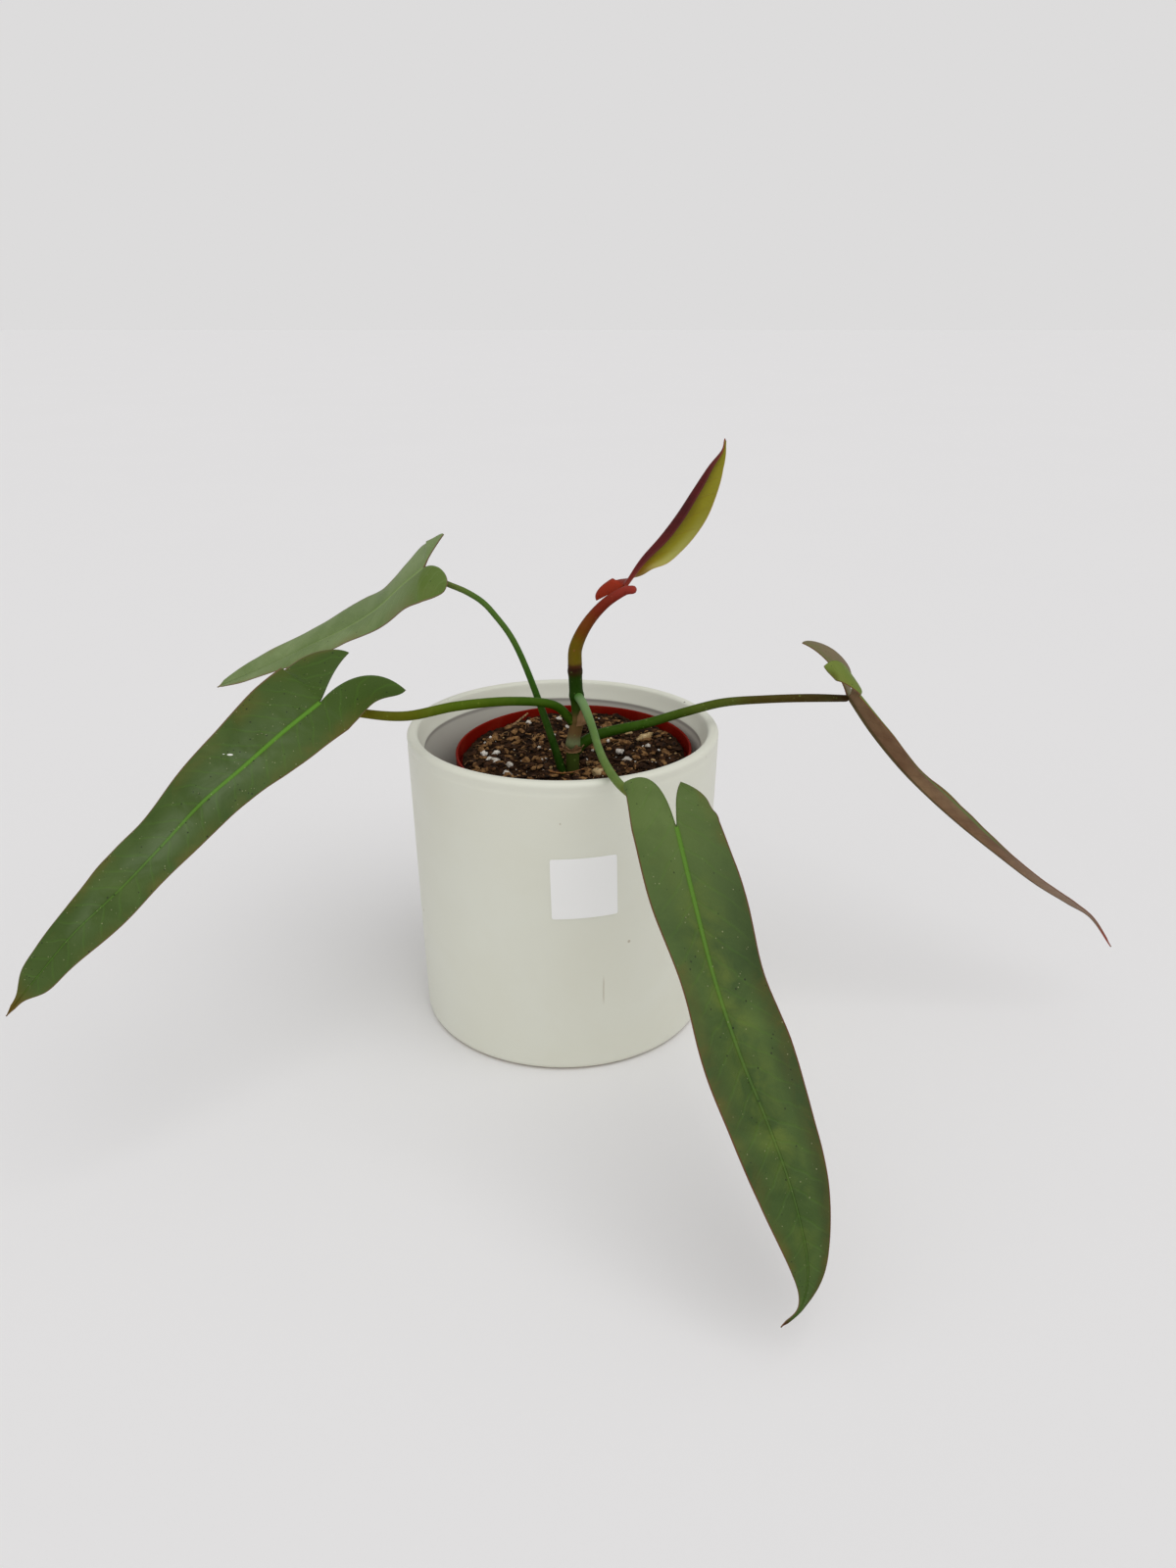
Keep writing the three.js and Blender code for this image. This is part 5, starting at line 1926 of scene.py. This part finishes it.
LEAVES = {
    "front": LeafShape(
        spine=(
            (46.5, -121, 150), (52.5, -140, 128), (59, -162, 106.5), (67, -181, 87), (75.5, -198, 70.5),
            (83, -213, 53), (87.5, -226, 34), (85, -234, 22.5), (77, -241, 20),
        ),
        face=((0.05, -0.75, 0.66), (0.05, -0.8, 0.55), (0, -0.85, 0.5)), ripple=(0.5, 3),
        left=Half(
            widths=(17.9, 21.2, 20.2, 21, 17.5, 14, 7, 1.3, 0.5), fold=(8, 8, 8, 10, 25),
            curl=(-30, -35, -30, -20, 0), lobe_fold=(8, -10), lobe_curl=(-30, -30),
            lobe=((46.5, -117, 156.6), (45.9, -111, 159.9), (48.5, -110, 164.8)),
            lobe_widths=(1, 0.96, 1.27), lobe_turn=0.75,
        ),
        right=Half(
            widths=(17.7, 17.6, 13.8, 16, 16, 14, 8, 1.3, 0.6), fold=(15, 28, 28, 28, 25),
            curl=(-25, -20, -15, -10, 0), lobe_fold=(15, -10), lobe_curl=(-25, -30),
            lobe=((44.3, -116, 155.7), (39.8, -105.5, 171.1), (26.7, -107, 163.4)),
            lobe_widths=(1, 0.93, 0.87), lobe_turn=0.47,
        ),
        petiole=(
            (7, -11, 168), (10, -19, 166), (14, -33, 160), (16.5, -47, 156), (19.3, -62, 154.2),
            (23.3, -78, 153.2), (27.7, -92, 153.6), (35, -106, 153), (45.5, -119.5, 149.3),
        ),
        radii=(2.2, 2, 1.8, 1.8, 1.85, 1.9, 1.9, 1.8, 1.6),
    ),
    "left_front": LeafShape(
        spine=(
            (-102.5, -60, 180.5), (-115, -76, 173), (-128.5, -92, 163.5), (-142.5, -106, 153.5),
            (-156.5, -119, 140), (-170.5, -130, 127), (-186, -141, 114), (-199.5, -150, 99),
            (-209.5, -157, 87.5),
        ),
        face=((0.15, -0.75, 0.6), (0.05, -0.75, 0.62), (-0.1, -0.8, 0.55)), ripple=(0.8, 4),
        left=Half(
            widths=(17, 16.6, 16, 14.5, 13, 12.7, 12.5, 11.7, 11, 10.9, 11, 11, 10.5, 9.1, 7.4, 1.9, 0.8),
            fold=(10, 10, 10, 12, 20), curl=(-25, -25, -20, -20, 0), lobe_fold=(10, -20),
            lobe_curl=(-25, -40), lobe=((-97, -56.5, 187), (-81, -51.5, 198), (-65, -62, 187)),
        ),
        right=Half(
            widths=(23, 22.6, 22, 20.7, 19, 17.2, 15.5, 14, 13, 13.1, 13, 11.2, 9, 7.6, 6.4, 1.9, 1),
            fold=(10, 10, 10, 15, 20), curl=(-20, -20, -20, -20, 0), lobe_fold=(10, 0),
            lobe_curl=(-20, -30), lobe=((-100.5, -56, 183), (-101, -42, 189), (-94.5, -30, 194)),
            lobe_turn=0.75,
        ),
        petiole=(
            (5, -10, 154), (-4, -15, 164.5), (-23.5, -26, 170), (-47, -36, 171), (-68, -45, 169.5),
            (-86, -53, 173.5), (-101.5, -58, 179),
        ),
        radii=(2.1, 2.05, 2.1, 2.2, 2.2, 2, 1.6),
    ),
    "left_back": LeafShape(
        spine=(
            (-64, 2, 225), (-75, 9, 215.5), (-90, 18, 201.5), (-107.5, 28, 189.5), (-127.5, 38, 178.5),
            (-147.5, 47, 167.5), (-168, 55, 157), (-185.5, 62, 148.5),
        ),
        face=((-0.22, -0.48, 0.85),) * 3, ripple=(0.5, 3),
        left=Half(
            widths=(21, 18, 14.5, 12, 11, 9.5, 7.5, 5, 0.8), fold=(8, 8, 8, 8, 20),
            curl=(-30, -25, -20, -10, 0), lobe_fold=(8, -5), lobe_curl=(-30, -40),
            lobe=((-60.5, 1, 228), (-52, -4, 227.5), (-51.5, -11, 221)), lobe_widths=(1, 0.93, 0.72),
            lobe_turn=0.3,
        ),
        right=Half(
            widths=(18.5, 19.5, 16, 14.7, 14, 15.2, 16.5, 16.3, 15.5, 14.1, 12.5, 11.2, 10, 8.7, 7, 4.1,
                    0.8), fold=(10, 10, 10, 15, 20), curl=(-20, -20, -20, -20, 0), lobe_fold=(10, 0),
            lobe_curl=(-20, -10), lobe=((-62, 4, 229), (-58.5, 6, 234.5), (-54.5, 8, 239.5)),
            lobe_widths=(1, 0.6, 0.35), lobe_turn=0.35,
        ),
        petiole=(
            (1.1, -12.5, 123), (-1.7, -11.5, 135), (-8.7, -10, 157.5), (-14.7, -9, 175), (-19.8, -8, 187.8),
            (-24.4, -7, 196.5), (-30.4, -6, 204.5), (-36.4, -4.5, 210.8), (-44.2, -2.5, 215.3),
            (-53, 0, 218.4), (-62.5, 2, 222.3),
        ),
        radii=(2.1, 2, 1.8, 1.7, 1.55, 1.45, 1.4, 1.35, 1.35, 1.35, 1.3),
    ),
    "right": LeafShape(
        spine=(
            (139, 10, 160.5), (151.5, 8, 143), (166.5, 6, 125.5), (181, 3, 111.5), (198, 0, 97),
            (217, -4, 82.5), (237, -8, 68), (254, -11, 58), (266, -14, 51), (277, -18, 36.5),
        ),
        face=((0.7, -0.1, 0.7),) * 3, ripple=(0.4, 3),
        left=Half(
            widths=(11.2, 10, 11, 13, 9.5, 6.5, 4, 2.2, 0.9), fold=(20, 25, 32, 32, 32, 30, 20),
            curl=(-20, -20, -15, -15, 0), lobe_fold=(20, 35, 30), lobe_curl=(-20, -30),
            lobe=((137.5, 12, 166), (129.5, 17, 180), (117, 22, 184)), lobe_widths=(1, 1.36, 1.75),
        ),
        right=Half(
            widths=(12.5, 15, 13, 13, 11, 9, 6.2, 2.6, 0.9), fold=(85, 82, 64, 58, 54, 50, 30),
            curl=(-110, -85, -40, -30, -30, -20, 0), lobe_fold=(85, 10, -25), lobe_curl=(-110, -50, -20),
            lobe=((144.7, 8, 166.6), (133, 6, 187), (124.2, 1, 178.4)), lobe_widths=(1, 1.2, 1.6),
            lobe_turn=0.8,
        ),
        petiole=(
            (6, -9.5, 139.5), (10, -8.5, 143.5), (17.5, -7, 147), (28, -6, 149.5), (40.5, -5, 152),
            (59, -2, 156.7), (77, 0.5, 160.5), (97, 3, 161.3), (118, 6, 161), (138, 10, 159.5),
        ),
        radii=(2.8, 2.6, 2.3, 2.2, 2.2, 2.1, 2, 2, 2, 1.7),
    ),
    "new": LeafShape(
        spine=(
            (29, -13, 220.5), (36.1, -11, 231.3), (44.8, -9, 241.1), (52.1, -9, 251.1), (58.7, -10, 262),
            (64.9, -12, 272.4), (69.8, -15, 279.6), (70.5, -18, 285),
        ),
        face=((0.7, -0.55, -0.4),) * 3, ripple=(0, 1),
        left=Half(
            widths=(2.1, 3.4, 4.4, 4.8, 4.5, 3.6, 2, 1, 0.6), fold=(30, 20, 15, 15, 20, 30, 20),
            curl=(40, 90, 130, 130, 120, 50, 0), lobe_fold=(30, -30), lobe_curl=(40, 0),
            lobe=((28.8, -14, 220.2), (28.4, -14.8, 219.8), (28, -15.4, 219.4)), lobe_turn=0,
        ),
        right=Half(
            widths=(6.5, 5.8, 12, 15.3, 14.5, 11.5, 6.4, 1.5, 0.6),
            fold=(-70, 45, 38, 35, 35, 35, 35, 30, 20), curl=(0, 0, -20, -20, -20, -10, 0),
            lobe_fold=(-70, -130), lobe_curl=(0, 10),
            lobe=((26.5, -11, 218.5), (22, -8, 215.5), (16, -6, 212)), lobe_widths=(1, 1, 1.2),
            lobe_turn=0.8,
        ),
        petiole=(
            (6, -10, 181.8), (6.5, -10, 191), (11.5, -11, 202), (19.5, -13, 212), (28, -16, 218.5),
            (32, -19, 220),
        ),
        radii=(3.35, 3.1, 2.75, 2.45, 2.2, 1.9),
    ),
}


@dataclass
class Plant:
    """The plant: its stem, its dry remains and its five leaves."""

    stem: Stem = field(default_factory=Stem)
    green_edge: Finish = Finish("green_leaf_edge", tone(112, 84, 56), 0.5, 0.4)
    dusky_edge: Finish = Finish("dusky_leaf_edge", tone(120, 72, 44), 0.5, 0.4)
    young_edge: Finish = Finish("young_leaf_edge", tone(150, 84, 50), 0.5, 0.1)

    def leaves(self) -> list[Leaf]:
        """The five leaves with their finishes."""
        return [self.front(), self.left_front(), self.left_back(), self.right(), self.new()]

    def front(self) -> Leaf:
        """Long leaf that hangs in front of the pot.

        Returns:
            The leaf.
        """
        # The lighter lobe colours of this blade are a painted sheen.
        top = BladeTop(
            "front_leaf_top", tone(52, 73, 28), 0.46, 0.18, fresh=tone(78, 99, 46),
            left_lobe_tint_and_sheen=tone(88, 108, 54), right_lobe_tint_and_sheen=tone(94, 114, 58), rib=tone(86, 128, 36),
            rib_reach=(0.08, 0.5, 0.16), margin=tone(112, 62, 42), tip=tone(84, 26, 18),
            patch_and_sheen=tone(116, 130, 48), patch_and_sheen_share=0.36, shaded=-1, specks=0.03,
        )
        under = BladeUnderside(
            "front_leaf_underside", tone(86, 78, 48), light=tone(104, 100, 66), rib=tone(110, 120, 66),
            lobe=tone(92, 88, 56), pale=tone(108, 92, 64),
        )
        # The strong greyish coating on this petiole is partly a painted sheen.
        stalk = Stalk(
            "front_petiole", tone(84, 108, 48), 0.46, 0.08,
            stops=shades(
                (0.0, 58, 104, 30), (0.06, 110, 140, 92), (0.25, 92, 122, 64), (0.6, 94, 118, 52),
                (0.85, 100, 104, 30), (1.0, 110, 88, 30),
            ),
            bloom_and_sheen_share=0.3,
        )
        return Leaf("front", top, under, self.green_edge, stalk, "blade_green")

    def left_front(self) -> Leaf:
        """Broad leaf at the left, nearest the viewer.

        Returns:
            The leaf.
        """
        # The greyish patches in the middle of this blade are a painted sheen.
        top = BladeTop(
            "left_front_leaf_top", tone(54, 76, 20), 0.44, 0.2, fresh=tone(78, 98, 46),
            rib=tone(88, 138, 32), left_lobe_tint_and_sheen=tone(60, 84, 18), right_lobe_tint_and_sheen=tone(60, 84, 18),
            margin=tone(120, 92, 66), tip=tone(98, 74, 4), tip_from=0.87,
            tears=((7.4, 43.2, 1.25), (9.3, 44.8, 0.45)), patch_and_sheen=tone(98, 114, 80), patch_and_sheen_share=0.6,
            specks=0.05, dust=0.05,
        )
        under = BladeUnderside(
            "left_front_leaf_underside", tone(84, 80, 34), light=tone(100, 94, 58), rib=tone(112, 118, 60),
            lobe=tone(76, 72, 34), tip=tone(104, 80, 28), pale=tone(96, 88, 48),
        )
        stalk = Stalk(
            "left_front_petiole", tone(70, 92, 24), 0.45, 0.06,
            stops=shades(
                (0.0, 46, 78, 8), (0.2, 54, 86, 10), (0.5, 76, 96, 12), (0.8, 94, 92, 8),
                (1.0, 106, 88, 16),
            ),
            bloom_and_sheen=tone(132, 150, 60), bloom_and_sheen_share=0.14,
        )
        return Leaf("left_front", top, under, self.green_edge, stalk, "blade_green")

    def left_back(self) -> Leaf:
        """Leaf at the left, behind, whose pale greyish upper side is partly a painted sheen.

        Returns:
            The leaf.
        """
        # The pale grey-green of this upper side is the leaf's colour with a painted sheen in it.
        top = BladeTop(
            "left_back_leaf_top", tone(98, 120, 62), 0.42, 0.25, fresh=tone(126, 144, 94),
            rib=tone(128, 152, 88), left_lobe_tint_and_sheen=tone(82, 104, 28), margin=tone(126, 104, 78),
            tip=tone(132, 112, 66), tip_from=0.96, patch_and_sheen=tone(96, 116, 56), patch_and_sheen_share=0.3, specks=0.015,
        )
        under = BladeUnderside(
            "left_back_leaf_underside", tone(84, 92, 44), light=tone(100, 104, 64), rib=tone(120, 126, 76),
            lobe=tone(92, 104, 44), pale=tone(104, 100, 66), tip=tone(120, 96, 60),
        )
        stalk = Stalk(
            "left_back_petiole", tone(64, 100, 36), 0.44, 0.08,
            stops=shades(
                (0.0, 26, 52, 6), (0.15, 32, 64, 8), (0.4, 48, 88, 16), (0.75, 72, 102, 36),
                (1.0, 104, 110, 56),
            ),
            bloom_and_sheen_share=0.15,
        )
        return Leaf("left_back", top, under, self.green_edge, stalk, "blade_pale")

    def right(self) -> Leaf:
        """Narrow leaf at the right that shows its dusky underside.

        Returns:
            The leaf.
        """
        top = BladeTop(
            "right_leaf_top", tone(72, 98, 34), 0.46, 0.18, fresh=tone(104, 124, 56),
            rib=tone(116, 134, 56), margin=tone(104, 62, 34), tip=tone(150, 58, 44), tip_from=0.9,
            left_lobe_tint_and_sheen=tone(122, 104, 82), right_lobe_tint_and_sheen=tone(112, 126, 50),
        )
        under = BladeUnderside(
            "right_leaf_underside", tone(110, 78, 54), light=tone(138, 110, 80), rib=tone(66, 60, 22),
            lobe=tone(120, 98, 72), tip=tone(158, 58, 46), pale_from=0.62, pale=tone(142, 118, 100),
            strip_side=1, strip_width=3.0, strip_end=0.56, margin=tone(96, 60, 34), margin_share=0.5,
        )
        stalk = Stalk(
            "right_petiole", tone(60, 76, 24), 0.45, 0.05,
            stops=shades(
                (0.0, 36, 66, 6), (0.25, 46, 78, 6), (0.5, 72, 84, 22), (0.7, 68, 58, 18),
                (1.0, 58, 38, 16),
            ),
            bloom_and_sheen_share=0.1,
        )
        return Leaf("right", top, under, self.dusky_edge, stalk, "blade_dusky")

    def new(self) -> Leaf:
        """Young leaf at the top, still half rolled.

        Returns:
            The leaf.
        """
        # The darker olive along the midrib of the open half is painted shade, and the pale outer strip near
        # the base is a painted highlight.
        top = BladeTop(
            "young_leaf_top", tone(134, 126, 4), 0.42, 0.15, fresh=tone(150, 144, 34),
            painted_hollow_shade=tone(104, 90, 0), blush_share=0.0, lip=tone(178, 176, 96), rib=tone(120, 60, 14),
            margin=tone(206, 168, 124), tip=tone(90, 34, 46), tip_from=0.96, patch_and_sheen=tone(126, 108, 2),
            patch_and_sheen_share=0.5, right_lobe_tint_and_sheen=tone(146, 40, 4), specks=0.0, dust=0.0,
        )
        under = BladeUnderside(
            "young_leaf_underside", tone(66, 6, 8), 0.42, 0.2, light=tone(92, 16, 16),
            rib=tone(120, 40, 34), lobe=tone(150, 40, 4), tip=tone(110, 50, 58), pale_from=0.75,
            pale=tone(112, 42, 26), margin=tone(112, 62, 54), margin_share=0.3,
        )
        stalk = Stalk(
            "young_petiole", tone(120, 60, 20), 0.42, 0.08,
            stops=shades(
                (0.0, 60, 34, 6), (0.04, 100, 88, 2), (0.2, 102, 84, 2), (0.4, 108, 58, 6),
                (0.65, 114, 34, 14), (1.0, 146, 52, 42),
            ),
            bloom_and_sheen=tone(160, 84, 70), bloom_and_sheen_share=0.15,
        )
        return Leaf("new", top, under, self.young_edge, stalk, "blade_young", "petiole_red")

    def build(self, pot: NurseryPot, mix: PottingMix) -> list[Object]:
        """Builds the whole plant.

        Args:
            pot: The nursery pot.
            mix: The mix that it grows in.

        Returns:
            The dressed pieces.
        """
        made = [self.stem.build()]
        sheaths = (
            DrySheath("lower_dry_sheath", "dry_sheath_lower", 0.4, 0.475, 1.1, 80, 110, 0.03),
            DrySheath("upper_dry_sheath", "dry_sheath_upper", 0.6, 0.73, 0.5, 150, 190, 0.05),
        )
        made += [sheath.build(self.stem) for sheath in sheaths]
        fibre = DryLeaf("orange_fibre", tone(150, 96, 40), 0.6, 0.4)
        twig = DryLeaf("dry_twig", tone(178, 142, 96), 0.75, 0.35)
        strands = (
            Strand(
                "loose_root_fibre",
                "root_fibre",
                ((-12, -20, 0.6), (-6.5, -23, 1.6), (-0.5, -22.5, 2.2), (5, -19.5, 2.4)),
                0.5,
                fibre,
            ),
            Strand("small_twig", "twig", ((-32, 38, 0.8), (-28.5, 43, 2), (-25, 47, 3.6)), 0.75, twig),
        )
        made += [strand.build(pot, mix) for strand in strands]
        for leaf in self.leaves():
            made += leaf.build()
        return made


# Studio


@dataclass
class Studio:
    """Camera, soft light and pale floor.

    Attributes:
        pitch: How far it looks down, in degrees.
        lens: Its focal length, for a sensor of 36 mm.
        suns: Each wide light's name, strength, spread and two angles from straight above, in degrees.
        floor_size: Half the floor's side, in metres.
    """

    eye: Point = (12.1, -537.0, 340.3)
    pitch: float = 22.455
    lens: float = 27.0
    sensor: float = 36.0
    even: Colour = (1.0, 0.995, 0.985, 1.0)
    light: float = 0.52
    ground: Colour = tone(221, 220, 220)
    suns: tuple[tuple[str, float, float, float, float], ...] = (
        ("key", 1.0, 60.0, 24.0, 24.0),
        ("fill", 0.45, 90.0, 44.0, -40.0),
    )
    floor_size: float = 14.0
    cloth: Cloth = Cloth("pale_cloth", tone(240, 239, 240), 0.9, 0.1)

    def camera(self) -> None:
        """Puts the camera where the photograph was taken."""
        data = bpy.data.cameras.new("camera")
        data.lens = self.lens
        data.sensor_width = self.sensor
        made = show("camera", data)
        made.location = Vector(self.eye) * MM
        made.rotation_euler = (math.radians(90 - self.pitch), 0, 0)
        bpy.context.scene.camera = made

    def sun(self, name: str, strength: float, spread: float, x: float, y: float) -> None:
        """Adds a wide soft light from afar.

        Args:
            name: Name of the light.
            strength: Strength on a surface that faces it.
            spread: Angle that it covers, in degrees.
            x: Its angle from straight above about X, in degrees.
            y: Its angle from straight above about Y, in degrees.
        """
        data = bpy.data.lights.new(name, "SUN")
        data.energy = strength
        data.angle = math.radians(spread)
        show(name, data).rotation_euler = (math.radians(x), math.radians(y), 0)

    def world(self) -> None:
        """Lights the scene evenly, and shows a plain pale ground behind it."""
        world = bpy.data.worlds.new("soft_room")
        bpy.context.scene.world = world
        world.use_nodes = True
        board = Board(world.node_tree)
        out = next(n for n in world.node_tree.nodes if n.type == "OUTPUT_WORLD")
        even = world.node_tree.nodes["Background"]
        even.inputs["Color"].default_value = self.even
        even.inputs["Strength"].default_value = self.light
        shown = board.add("Background", {"Color": self.ground, "Strength": 1.0})
        sees = board.add("LightPath").outputs["Is Camera Ray"]
        mixed = board.add("MixShader", {0: sees, 1: even.outputs[0], 2: shown.outputs[0]})
        board.feed(out.inputs["Surface"], mixed.outputs[0])

    def floor(self) -> None:
        """Lays the wide pale floor."""
        bm = bmesh.new()
        bmesh.ops.create_grid(bm, x_segments=8, y_segments=8, size=self.floor_size)
        mesh = bpy.data.meshes.new("pale_floor")
        bm.to_mesh(mesh)
        bm.free()
        mesh.materials.append(self.cloth.material())
        made = show("pale_floor", mesh)

    def build(self) -> None:
        """Sets up the whole studio."""
        bpy.context.scene.view_settings.view_transform = "Standard"
        self.camera()
        self.floor()
        self.world()
        for sun in self.suns:
            self.sun(*sun)


def main() -> None:
    """Builds the plant, its pots and the studio, and notes the sizes."""
    logging.basicConfig(level=logging.INFO, format="%(message)s")
    Studio().build()
    cover = CoverPot()
    nursery = NurseryPot()
    mix = PottingMix()
    plant = Plant()
    foot = nursery.matrix().inverted() @ Vector(plant.stem.path[1])
    made = [cover.build(), Label().build(cover), nursery.build()]
    made += mix.build(nursery, foot)
    made += plant.build(nursery, mix)
    log.info("%d pieces", len(made))


if __name__ == "__main__":
    main()
